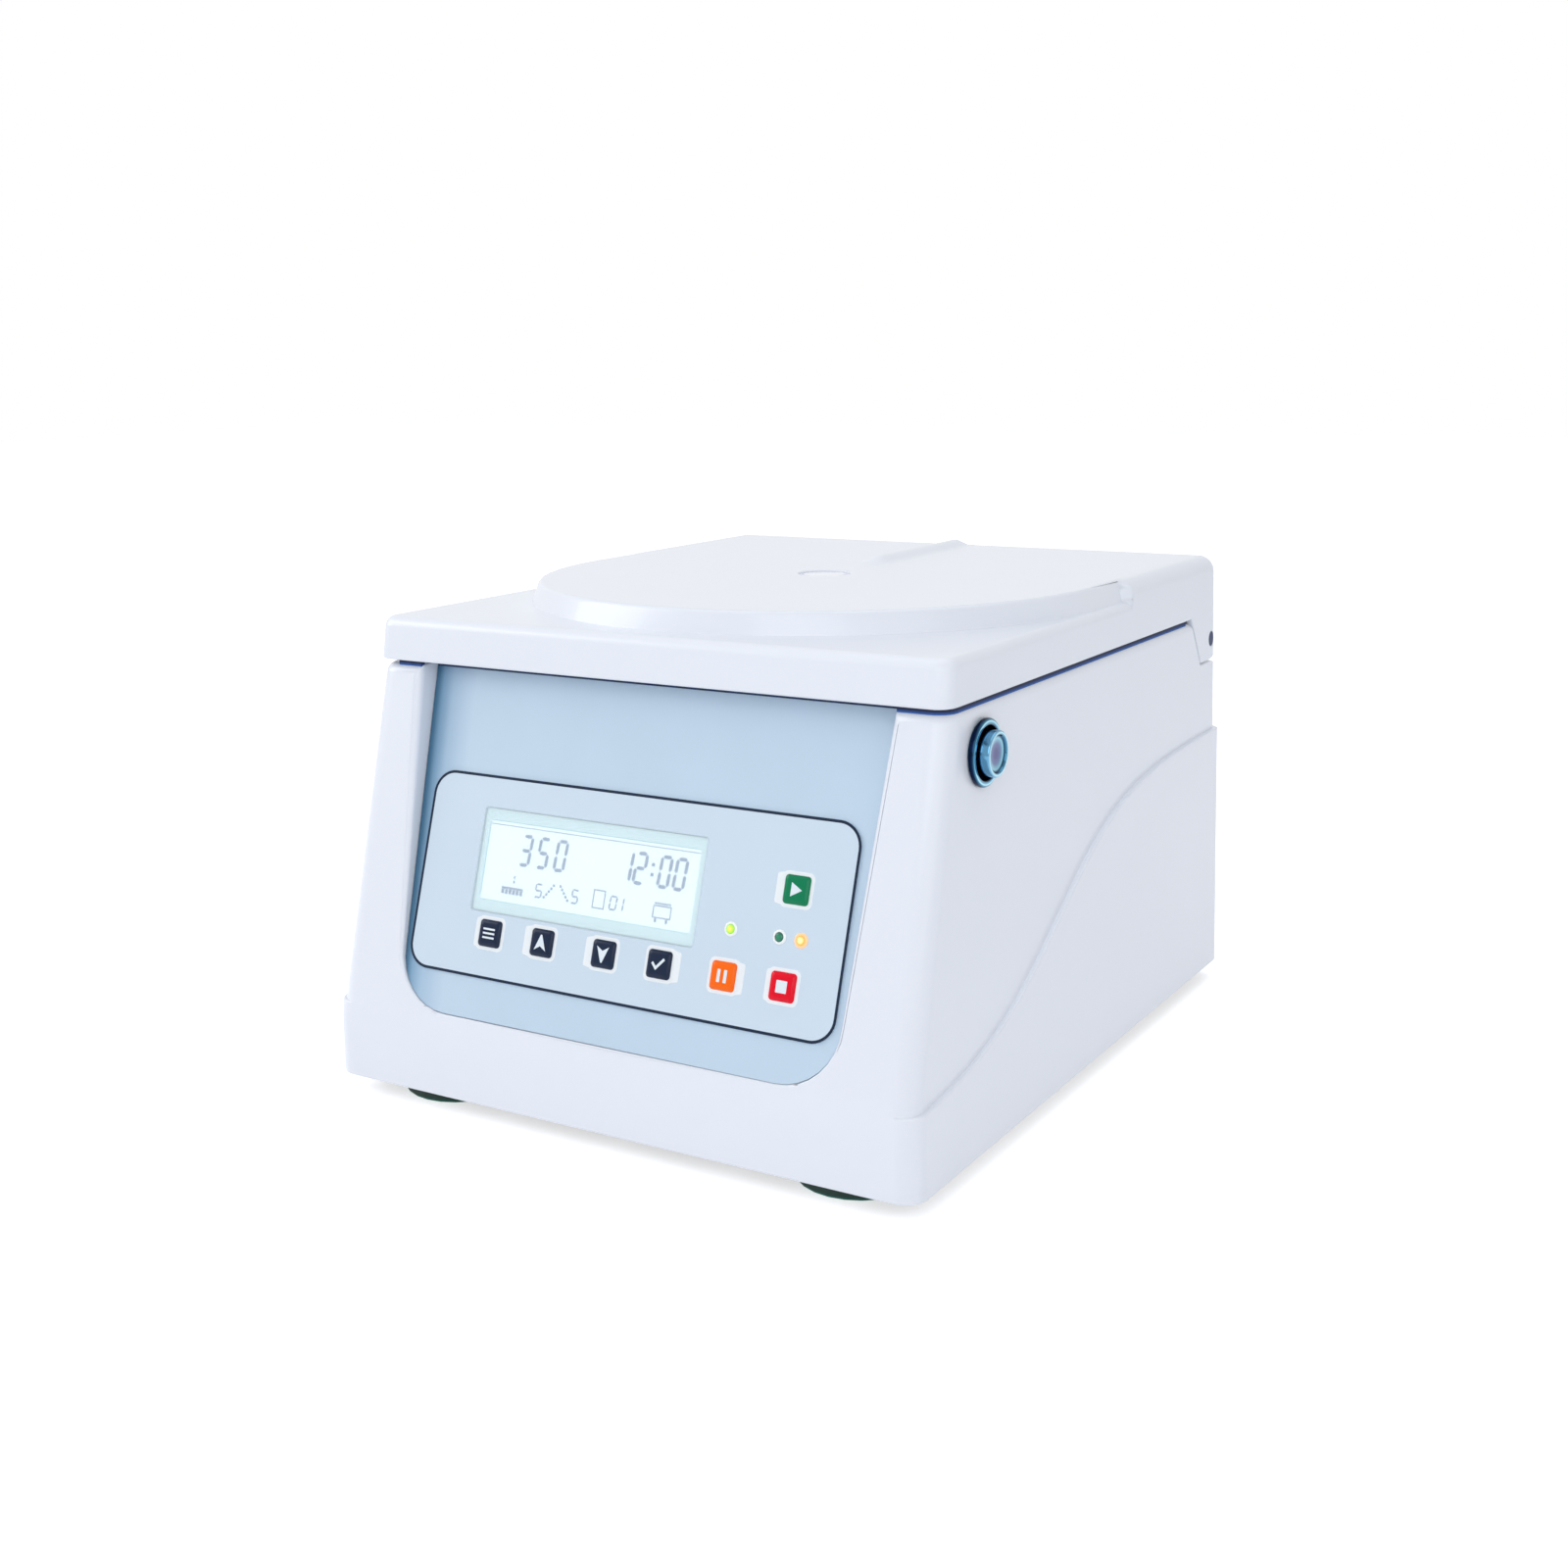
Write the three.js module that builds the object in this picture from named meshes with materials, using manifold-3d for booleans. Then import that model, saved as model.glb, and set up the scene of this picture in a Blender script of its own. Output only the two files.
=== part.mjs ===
// Benchtop centrifuge with a hinged lid, an angle rotor and a sloping control panel.
// Millimetres, +Z up, +Y towards the back. The origin is the middle of the part's footprint, on the bench.
import * as THREE from 'three';
import { mergeVertices } from 'three/addons/utils/BufferGeometryUtils.js';
import Module from 'manifold-3d';

const wasm = await Module();
wasm.setup();
const degrees = THREE.MathUtils.degToRad;

// Driving dimensions of the whole machine
const footprintWidth = 301.4;
const footHeight = 9.3;
const lidLineHeight = 198;
const lidLineWidth = 290;
const ledgeHeight = 19.2;
const plateauHeight = 29;
const rotorSetback = 196.5;
const rotorRearRoom = 162.5;
const footprintDepth = rotorSetback + rotorRearRoom;

// Clearances that several pieces share
const seatGap = 0.3;
const overrun = 60;
const bowlSteps = 40;
const roundSteps = 24;
const mediumSteps = 20;
const smallSteps = 12;
const caseCornerSteps = 6;
const cornerSteps = 4;
const smallCornerSteps = 2;

// Case: walls, slopes and corners
const sideDraft = 1.15;
const rearDraft = 1.8;
const plinthDraft = 0.9;
const pillarLean = 14;
const pillarTopSetback = 39.3;
const bandBlend = 12;
const caseFrontRadius = 10;
const caseRearRadius = 8;
const caseTopFillet = 4;
const lidGap = 2;
const caseWall = 4;
const rearWall = 5.5;
const frontWall = 6.5;
const deckThickness = 4;

// Case: the proud lower part of each side, whose upper edge rises to the back in an S
const swoopLow = 32.7;
const swoopRise = 95.5;
const swoopMiddleSetback = 141.5;
const swoopReach = 77;
const swoopSteps = 40;

// Hinge line at the back, the shelf under it and the slanted front edge of the lid's ears
const hingeInset = 10;
const hingeDrop = 13.5;
const heelSteps = 8;
const earDrop = 10.5;
const earSlantRun = 14.8;
const earInset = 39.8;
const earGap = 1;
const earBossRadius = 7;
const shelfGap = 1;
const shelfChamferRun = 9;
const shelfChamferDrop = 3.2;

// Sloping control panel and the U-shaped recess that it lies in
const fasciaLean = 18.14;
const fasciaTopSetback = 51.6;
const overlayFootHeight = 65.4;
const recessTopHalfWidth = 120.5;
const recessBottomHalfWidth = 113;
const recessCornerRadius = 27;
const recessBelowOverlay = 18.6;
const fasciaThickness = 1.6;
const fasciaLip = 6;
const rimRadiusAtPanel = 0.9;
const rimDepthShare = 0.25;
const overlayThickness = 0.5;
const overlaySideMargin = 3.25;
const overlayWidth = 2 * (recessBottomHalfWidth - overlaySideMargin);
const overlayHeight = 89.4;
const overlayCornerRadius = 11;

// Display
const displayCentreShare = -0.0925;
const displayCentreUp = 52.2;
const windowWidth = 117.5;
const windowHeight = 46;
const windowCornerRadius = 1.5;
const glassWidth = 111.8;
const glassHeight = 35.6;
const glassRecess = 0.8;
const displayDepth = 8;

// Keys: node name, place across the panel as a share of the overlay's width, place up the panel
const lowerKeyRow = 20.1;
const startKeyRow = 59.2;
const keyShares = [
  ['key_select', -0.2998, lowerKeyRow, 'dark'],
  ['key_up', -0.1695, lowerKeyRow, 'dark'],
  ['key_down', -0.0205, lowerKeyRow, 'dark'],
  ['key_set', 0.1093, lowerKeyRow, 'dark'],
  ['key_pause', 0.2528, lowerKeyRow, 'orange'],
  ['key_stop', 0.3813, lowerKeyRow, 'red'],
  ['key_start', 0.3813, startKeyRow, 'green'],
];
const keySize = 12;
const keyCornerRadius = 2.2;
const keyRise = 2.2;
const keyTravel = 0.8;
const keyShoulder = 1.6;
const keyCrownInset = 1.8;
const keyShoulderInset = 0.4;
const keySkirtDepth = 1.3;
const keyStemWidth = 5;
const keyClearance = 0.4;
const switchWidth = 6;
const switchHeight = 2.2;
const stemClearance = 0.3;
const stemGap = keyTravel + stemClearance;

// Indicator lamps: node name, place across the panel as a share of the overlay's width
const lampRow = 39.5;
const lampShares = [
  ['lamp_power', 0.2538],
  ['lamp_ready', 0.359],
  ['lamp_run', 0.405],
];
const lampRadius = 2.4;
const lampRise = 1;
const lampClearance = 0.3;

// Control board behind the panel
const boardDepth = 11.8;
const boardThickness = 1.6;
const boardSideInset = 6.75;
const boardWidth = overlayWidth - 2 * boardSideInset;
const boardBelow = 3;
const boardAbove = 88;
const boardPostRadius = 3.5;
const boardPostInset = 6;

// Lid
const lidFrontSetback = 36.6;
const lidFrontLean = 10;
const lidWall = 3.5;
const lidFrontRadius = 8;
const ledgeFillet = 4.5;
const plateauArcRadius = 141;
const plateauBevelRun = 3.6;
const plateauArcFillet = 1.6;
const plateauFillet = 8;
const plateauStepSetback = 29.5;
const plateauStepRun = 5;
const plateauSteps = 32;
const ribWidth = 14;
const ribRise = 3;
const ribStartFromRotor = 46;
const ribEndInset = 6;
const lensRadius = 9.2;
const lensFlangeRadius = 12.2;
const lensFlangeThickness = 1.2;
const lensSink = 0.5;
const linerHeight = 2;
const linerThickness = 2.5;
const linerRearInset = 47.5;
const linerRadius = 8;

// Chamber and its seal
const bowlRadius = 100;
const bowlThickness = 1.5;
const bowlDepth = 100;
const bowlCornerRadius = 12;
const bowlFlangeRadius = 108;
const bowlFlangeThickness = 1.2;
const bowlHoleRadius = 18;
const gasketInnerRadius = 101;
const gasketOuterRadius = 107;

// Rotor
const shaftRadius = 6;
const bearingGap = 0.3;
const shaftBottom = 36;
const shaftTop = 165.4;
const hubRadius = 20;
const hubBottom = 128;
const hubTop = 156;
const tubeTilt = 30;
const tubeCircleRadius = 48;
const tubeSeatHeight = 165;
const dishRadius = 70;
const dishThickness = 5;
const tubeCount = 6;
const tubeOuterRadius = 9.6;
const tubeBoreRadius = 8.3;
const tubeLength = 58;
const tubeFloor = 2;
const tubeFlangeRadius = 11.8;
const tubeFlangeThickness = 2.5;
const tubeHoleClearance = 0.4;
const knobRadius = 16;
const knobHeight = 15.7;
const knobBoreDepth = 9.4;
const knobChamfer = 2.5;

// Motor and its mounting
const motorRadius = 42;
const motorHeight = 57.4;
const motorFlangeRadius = 50;
const motorFlangeThickness = 6;
const bearingRadius = 14;
const bearingHeight = 7;
const motorPlateWidth = 126;
const motorPlateThickness = 4;
const motorPlateRadius = 12;
const damperRadius = 10;
const damperWaistRadius = 8;
const damperHeight = 15.7;
const damperSpacing = 90;
const bossRadius = 12;
const bossHeight = 2.4;
const bootRadius = 26;
const bootNeckRadius = 17.5;
const bootBoreRadius = 8;
const bootNeckHeight = 8;

// Base pan and feet
const panThickness = 2;
const footRadius = 28;
const footSoleRadius = 27;
const footBevel = 2;
const footInsetX = 45.2;
const footInsetY = 37.9;

// Power electronics on the base pan
const powerBoardWidth = 84;
const powerBoardDepth = 84;
const powerBoardThickness = 1.8;
const powerBoardSideGap = 4;
const powerBoardRearGap = 14;
const powerPostHeight = 8;
const powerPostRadius = 4;
const powerPostInset = 8;
const heatSinkWidth = 60;
const heatSinkDepth = 16;
const heatSinkHeight = 26;
const capacitorRadius = 11;
const capacitorHeight = 32;
const capacitorSpacing = 26;

// Back panel: a flat pocket that holds the mains inlet, the switch and the vent
const pocketWidth = 250;
const pocketHeight = 70;
const pocketRadius = 6;
const pocketCentreHeight = 63;
const pocketInset = 4;
const flangeThickness = 1.8;
const inletX = -92;
const inletWidth = 47;
const inletHeight = 27;
const inletFlangeWidth = 52;
const inletFlangeHeight = 32;
const inletDepth = 30;
const wellWidth = 24.4;
const wellHeight = 16.6;
const wellDepth = 20;
const wellShift = 8;
const bladeWidth = 2;
const bladeHeight = 4;
const bladeLength = 14;
const bladeSpacing = 7;
const earthBladeRise = 3.5;
const fuseSlotWidth = 12;
const fuseSlotHeight = 20;
const fuseSlotDepth = 1;
const fuseShift = -15;
const switchX = -38;
const rockerBodyWidth = 22;
const rockerBodyHeight = 30;
const rockerFlangeWidth = 26;
const rockerFlangeHeight = 34;
const rockerBodyDepth = 24;
const rockerWellWidth = 16;
const rockerWellHeight = 23.4;
const rockerWellDepth = 9;
const rockerWidth = 15;
const rockerHalfLength = 10.2;
const rockerPeak = 4.2;
const rockerWaist = 2.8;
const rockerBack = 3;
const rockerTilt = 8;
const rockerPivotDepth = 1.2;
const ventX = 55;
const ventWidth = 96;
const ventHeight = 46;
const ventFlange = 3;
const ventSlatCount = 7;
const ventSlotHeight = 3.4;
const ventSlotInset = 6;
const ventDepth = 3;

// Lid lock on the right side, near the front
const lockSetback = 66.3;
const lockDrop = 21.2;
const lockFlangeRadius = 14;
const lockFlangeThickness = 2.2;
const lockFlangeBevel = 0.8;
const lockStandOff = 0.7;
const lockSleeveRadius = 12;
const lockSleeveDepth = 10;
const lockBoreClearance = 1.7;
const buttonRadius = 9.5;
const buttonRise = 6.8;
const buttonRimWidth = 1.6;
const buttonDishDepth = 1.4;
const buttonTail = 6;
const buttonCollarLength = 1.6;
const buttonCollarClearance = 0.4;
const buttonStemRadius = 4;
const lockTravel = 4;
const nutRadius = 14.6;
const nutThickness = 4;
const catchWidth = 7;
const catchBelow = 12.5;
const catchFloorThickness = 5;
const catchWall = 4;
const catchAbove = 7.5;
const catchNoseHeight = 6;
const catchNoseLength = 5.6;
const strikerX = 121;
const strikerThickness = 2;
const strikerWidth = 11;
const strikerBelow = 4.5;
const strikerWindowWidth = 8;
const strikerWindowHeight = 9.5;
const catchClearance = 0.4;
const strikerSlotClearance = 2.5;

// Hinge arms and pins
const armInnerX = 127;
const armOuterX = 139;
const armBossRadius = 6;
const armRootLow = 3;
const armRootHigh = 17;
const armNotchGap = 1.5;
const armSteps = 10;
const pinRadius = 3;
const pinHeadRadius = 3.7;
const pinHeadThickness = 1.3;
const pinHeadSink = 1.6;
const pinClearance = 0.3;

// Places worked out from the sizes above
const rearY = footprintDepth / 2;
const frontY = -footprintDepth / 2;
const caseTop = lidLineHeight - lidGap;
const ledgeTop = lidLineHeight + ledgeHeight;
const lidTop = lidLineHeight + plateauHeight;
const rotorY = frontY + rotorSetback;
const deckUnderside = caseTop - deckThickness;
const panUnderside = footHeight + seatGap;
const panTop = panUnderside + panThickness;
const damperFoot = panTop + bossHeight + seatGap;
const plateFoot = damperFoot + damperHeight + seatGap;
const motorFoot = plateFoot + motorPlateThickness + seatGap;
const motorTop = motorFoot + motorHeight;
const bowlRim = caseTop + seatGap + bowlFlangeThickness;
const bowlFloor = bowlRim - bowlDepth;
const linerFoot = lidLineHeight + linerHeight;
const hingeHeight = lidLineHeight - hingeDrop;
const earHeight = hingeHeight - earDrop;
const hingeY = rearAt(hingeHeight) - hingeInset;
const shelfHeight = earHeight - shelfGap;
const lockY = frontY + lockSetback;
const lockHeight = lidLineHeight - lockDrop;
const catchFoot = lockHeight - catchBelow;
const catchTop = lockHeight + catchAbove;
const pocketY = rearY - pocketInset;
const buttonFaceX = sideAt(lockHeight) + lockStandOff + buttonRise;
const protrusion = buttonFaceX - footprintWidth / 2;

// Plain finishes, one for each material of the machine
const finish = (color, roughness, metalness) => (
  new THREE.MeshStandardMaterial({ color, roughness, metalness })
);
const finishes = {
  shell: finish('#e4e9f2', 0.42, 0),
  steelPan: finish('#c9ced6', 0.5, 0.7),
  fascia: finish('#b9cfe1', 0.5, 0),
  overlay: finish('#bfd0e0', 0.4, 0),
  clear: finish('#e9f6f8', 0.1, 0),
  display: finish('#e8fbff', 0.3, 0),
  board: finish('#1f6b45', 0.6, 0),
  dark: finish('#39414e', 0.3, 0),
  orange: finish('#f27a22', 0.35, 0),
  red: finish('#d3123a', 0.35, 0),
  green: finish('#0c8557', 0.35, 0),
  lamp: finish('#b8e04a', 0.25, 0),
  stainless: finish('#c4c8cc', 0.3, 1),
  motor: finish('#6c7178', 0.55, 0.6),
  rubber: finish('#23272b', 0.85, 0),
  chrome: finish('#d4dade', 0.12, 1),
  aluminium: finish('#a9adb2', 0.4, 1),
  blackPlastic: finish('#1c1f23', 0.5, 0),
};

// Turns a closed three.js geometry into a solid that can be cut and joined
function solid(geometry) {
  const plain = geometry.clone();
  plain.deleteAttribute('normal');
  plain.deleteAttribute('uv');
  const merged = mergeVertices(plain);
  const vertProperties = new Float32Array(merged.attributes.position.array);
  const triVerts = new Uint32Array(merged.index.array);
  return new wasm.Manifold(new wasm.Mesh({ numProp: 3, vertProperties, triVerts }));
}

// Turns a cut solid back into a geometry
function geometryOf(body) {
  const mesh = body.getMesh();
  const geometry = new THREE.BufferGeometry();
  geometry.setAttribute('position', new THREE.BufferAttribute(new Float32Array(mesh.vertProperties), 3));
  geometry.setIndex(new THREE.BufferAttribute(new Uint32Array(mesh.triVerts), 1));
  geometry.computeVertexNormals();
  return geometry;
}

const join = (first, ...others) => others.reduce((whole, other) => whole.add(other), first);
const cut = (first, ...others) => others.reduce((whole, other) => whole.subtract(other), first);

// A shape in the XY plane made into a plate between two heights
function plate(shape, low, high, curveSegments = cornerSteps) {
  const settings = { depth: high - low, bevelEnabled: false, curveSegments };
  const geometry = new THREE.ExtrudeGeometry(shape, settings);
  return geometry.translate(0, 0, low);
}

// A profile drawn with Y across and Z up, swept along X between two places
function sweptX(points, low, high) {
  const shape = new THREE.Shape(points.map(([y, z]) => new THREE.Vector2(y, z)));
  const axes = new THREE.Matrix4().makeBasis(
    new THREE.Vector3(0, 1, 0),
    new THREE.Vector3(0, 0, 1),
    new THREE.Vector3(1, 0, 0),
  );
  return solid(plate(shape, low, high).applyMatrix4(axes));
}

// A shape drawn with X across and Z up, swept along Y between two places
function sweptY(shape, low, high, steps = smallCornerSteps) {
  const axes = new THREE.Matrix4().makeBasis(
    new THREE.Vector3(1, 0, 0),
    new THREE.Vector3(0, 0, 1),
    new THREE.Vector3(0, -1, 0),
  );
  return solid(plate(shape, -high, -low, steps).applyMatrix4(axes));
}

// A box given by its lowest and highest corners
function block(low, high) {
  const size = high.map((value, i) => value - low[i]);
  const middle = high.map((value, i) => (value + low[i]) / 2);
  return solid(new THREE.BoxGeometry(...size).translate(...middle));
}

// An upright cylinder
function cylinder(radius, low, high, x = 0, y = 0, steps = roundSteps) {
  const geometry = new THREE.CylinderGeometry(radius, radius, high - low, steps);
  return solid(geometry.rotateX(Math.PI / 2).translate(x, y, (low + high) / 2));
}

// A cylinder along X
function cylinderX(radius, low, high, y, z, steps = roundSteps) {
  const geometry = new THREE.CylinderGeometry(radius, radius, high - low, steps);
  return solid(geometry.rotateZ(-Math.PI / 2).translate((low + high) / 2, y, z));
}

// A turned piece: its profile has radius and height, up the outside and back down the inside
function turned(profile, steps = roundSteps) {
  const points = profile.map(([radius, height]) => new THREE.Vector2(radius, height));
  return new THREE.LatheGeometry(points, steps).rotateX(Math.PI / 2);
}

// A rectangle with round corners about a middle point
function roundedRectangle(width, height, radius, x = 0, y = 0) {
  const left = x - width / 2;
  const right = x + width / 2;
  const low = y - height / 2;
  const high = y + height / 2;
  const shape = new THREE.Shape();
  shape.moveTo(left + radius, low);
  shape.absarc(right - radius, low + radius, radius, -Math.PI / 2, 0);
  shape.absarc(right - radius, high - radius, radius, 0, Math.PI / 2);
  shape.absarc(left + radius, high - radius, radius, Math.PI / 2, Math.PI);
  shape.absarc(left + radius, low + radius, radius, Math.PI, Math.PI * 1.5);
  shape.closePath();
  return shape;
}

// A closed skin over outlines that have the same number of points, listed from the lowest up
function loft(sections) {
  const corners = [];
  const count = sections[0].length;
  for (let level = 1; level < sections.length; level += 1) {
    const low = sections[level - 1];
    const high = sections[level];
    for (let i = 0; i < count; i += 1) {
      const next = (i + 1) % count;
      corners.push(low[i], low[next], high[next], low[i], high[next], high[i]);
    }
  }
  const bottom = sections[0];
  const top = sections[sections.length - 1];
  for (const [a, b, c] of THREE.ShapeUtils.triangulateShape(top.slice(), [])) {
    corners.push(top[a], top[b], top[c], bottom[c], bottom[b], bottom[a]);
  }
  const geometry = new THREE.BufferGeometry().setFromPoints(corners);
  geometry.computeVertexNormals();
  return solid(geometry);
}

// Points of a quarter circle
function quarter(x, y, z, radius, start, steps = cornerSteps) {
  const angles = Array.from({ length: steps + 1 }, (_, k) => start + (Math.PI / 2) * (k / steps));
  return angles.map((a) => new THREE.Vector3(x + radius * Math.cos(a), y + radius * Math.sin(a), z));
}

// Outline of the machine at one height, with round corners
function planOutline(z, half, front, rear, frontRadius, rearRadius, steps = caseCornerSteps) {
  return [
    ...quarter(half - rearRadius, rear - rearRadius, z, rearRadius, 0, steps),
    ...quarter(-half + rearRadius, rear - rearRadius, z, rearRadius, Math.PI / 2, steps),
    ...quarter(-half + frontRadius, front + frontRadius, z, frontRadius, Math.PI, steps),
    ...quarter(half - frontRadius, front + frontRadius, z, frontRadius, Math.PI * 1.5, steps),
  ];
}

// How far a round edge of this radius has drawn in, near the top of what it rounds
function roundedInset(z, top, radius) {
  const up = Math.max(0, z - (top - radius));
  return radius - Math.sqrt(Math.max(0, radius * radius - up * up));
}

// Heights at which a round top edge is cut into flats
const rimAngles = [0, 20, 40, 60, 78];
const filletAngles = [0, 18, 36, 54, 72, 90];

function filletLevels(top, radius) {
  return filletAngles.map((angle) => top - radius + radius * Math.sin(degrees(angle)));
}

// Half width of the upper case and lid, half width of the plinth, and the back, at a height
function sideAt(z) {
  return lidLineWidth / 2 + Math.tan(degrees(sideDraft)) * (lidLineHeight - z);
}

function plinthAt(z) {
  return footprintWidth / 2 - Math.tan(degrees(plinthDraft)) * (z - footHeight);
}

function rearAt(z) {
  return rearY - Math.tan(degrees(rearDraft)) * (z - footHeight);
}

// The front stands upright at the foot and leans back above, with a soft bend between
function frontAt(z) {
  const slope = Math.tan(degrees(pillarLean));
  const bend = lidLineHeight - pillarTopSetback / slope;
  const past = z - (bend - bandBlend);
  if (past <= 0) {
    return frontY;
  }
  if (past < 2 * bandBlend) {
    return frontY + (slope * past * past) / (4 * bandBlend);
  }
  return frontY + slope * (z - bend);
}

const bandShares = [-1, -0.5, 0, 0.5, 1];

function bandLevels() {
  const bend = lidLineHeight - pillarTopSetback / Math.tan(degrees(pillarLean));
  return bandShares.map((share) => bend + share * bandBlend);
}

// Place on the control panel's face: across, up the slope, and out from the face
const panelUp = new THREE.Vector3(0, Math.sin(degrees(fasciaLean)), Math.cos(degrees(fasciaLean)));
const panelOut = new THREE.Vector3(0, -Math.cos(degrees(fasciaLean)), Math.sin(degrees(fasciaLean)));
const panelRun = Math.tan(degrees(fasciaLean)) * (lidLineHeight - overlayFootHeight);
const panelFootY = frontY + fasciaTopSetback - panelRun;
const panelMatrix = new THREE.Matrix4()
  .makeBasis(new THREE.Vector3(1, 0, 0), panelUp, panelOut)
  .setPosition(0, panelFootY, overlayFootHeight);

const recessTop = (caseTop - overlayFootHeight) / Math.cos(degrees(fasciaLean));

// Outline of the recess, drawn on the panel's face and drawn in by an inset
function recessOutline(inset, reach) {
  const low = -recessBelowOverlay + inset;
  const bend = -recessBelowOverlay + recessCornerRadius;
  const taper = (recessTopHalfWidth - recessBottomHalfWidth) / (recessTop - bend);
  const bottomHalf = recessBottomHalfWidth - inset;
  const topHalf = bottomHalf + taper * (reach - bend);
  const radius = recessCornerRadius - inset;
  const shape = new THREE.Shape();
  shape.moveTo(-bottomHalf + radius, low);
  shape.absarc(bottomHalf - radius, low + radius, radius, -Math.PI / 2, 0);
  shape.lineTo(topHalf, reach);
  shape.lineTo(-topHalf, reach);
  shape.lineTo(-bottomHalf, low + radius);
  shape.absarc(-bottomHalf + radius, low + radius, radius, Math.PI, Math.PI * 1.5);
  return shape;
}

// How far the case's front stands out from the panel's face, at a place up the panel
function frontOverPanel(up) {
  const lean = degrees(fasciaLean);
  const slope = Math.tan(degrees(pillarLean));
  const foot = panelFootY - frontAt(overlayFootHeight);
  return (foot + up * (Math.sin(lean) - slope * Math.cos(lean))) / (Math.cos(lean) + slope * Math.sin(lean));
}

// What is cut away where the recess opens, so that its mouth has a round edge, wider where it is deeper
function recessMouth() {
  const reach = recessTop + overrun;
  const pointsAt = (inset) => recessOutline(inset, reach).getPoints(cornerSteps).slice(0, -1);
  const outline = pointsAt(seatGap);
  const wider = pointsAt(0);
  const layer = (angle) => wider.map((point, i) => {
    const depth = frontOverPanel(point.y);
    const radius = rimRadiusAtPanel + rimDepthShare * depth;
    const spread = (radius * (1 - Math.cos(degrees(angle)))) / seatGap;
    const x = point.x + spread * (point.x - outline[i].x);
    const y = point.y + spread * (point.y - outline[i].y);
    return new THREE.Vector3(x, y, depth - radius * (1 - Math.sin(degrees(angle))));
  });
  const layers = rimAngles.map(layer);
  const last = layers[layers.length - 1];
  return loft([...layers, last.map((point) => new THREE.Vector3(point.x, point.y, point.z + overrun))]);
}

// Slanted line between the case's shoulder and the ear of the lid
function earLine(z, offset) {
  const low = rearAt(lidLineHeight) - earInset + offset;
  return low + (earSlantRun * (lidLineHeight - z)) / (lidLineHeight - earHeight);
}

// Height of the plinth's upper edge along the side
function swoopAt(y) {
  const middle = frontY + swoopMiddleSetback;
  return footHeight + swoopLow + (swoopRise * (1 + Math.tanh((y - middle) / swoopReach))) / 2;
}

// Case: the moulded housing, open underneath
function makeCaseOutside() {
  const levels = [footHeight, ...bandLevels(), ...filletLevels(caseTop, caseTopFillet)];
  const section = (half) => (z) => {
    const inset = roundedInset(z, caseTop, caseTopFillet);
    const front = frontAt(z) + inset;
    const rear = rearAt(z) - inset;
    return planOutline(z, half(z) - inset, front, rear, caseFrontRadius - inset, caseRearRadius - inset);
  };
  const upper = loft(levels.map(section(sideAt)));
  const lower = loft(levels.map(section(plinthAt)));
  const swoop = Array.from({ length: swoopSteps + 1 }, (_, k) => {
    const y = frontY - overrun + ((footprintDepth + 2 * overrun) * k) / swoopSteps;
    return [y, swoopAt(y)];
  });
  const foot = [[rearY + overrun, -overrun], [frontY - overrun, -overrun]];
  const plinth = lower.intersect(sweptX([...foot, ...swoop], -footprintWidth, footprintWidth));
  return upper.add(plinth);
}

// Hollow of the case, under the deck, the shelf and the panel
function makeCaseInside() {
  const section = (z) => {
    const rear = rearAt(z) - rearWall;
    const front = frontAt(z) + frontWall;
    return planOutline(z, sideAt(z) - caseWall, front, rear, caseFrontRadius, caseRearRadius);
  };
  const levels = [-overrun, ...bandLevels(), deckUnderside];
  const hollow = loft(levels.map(section));
  const wallOffset = -caseWall - earGap;
  const shelfRoof = shelfHeight - shelfChamferDrop - deckThickness;
  const behindShelf = sweptX([
    [earLine(shelfRoof, wallOffset), shelfRoof],
    [rearY + overrun, shelfRoof],
    [rearY + overrun, lidTop],
    [earLine(lidTop, wallOffset), lidTop],
  ], -footprintWidth, footprintWidth);
  const behindPanel = fasciaThickness + seatGap + caseWall;
  const aheadOfPanel = plate(recessOutline(-overrun, recessTop + overrun), -behindPanel, overrun);
  return cut(hollow, behindShelf, solid(aheadOfPanel.applyMatrix4(panelMatrix)));
}

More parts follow.
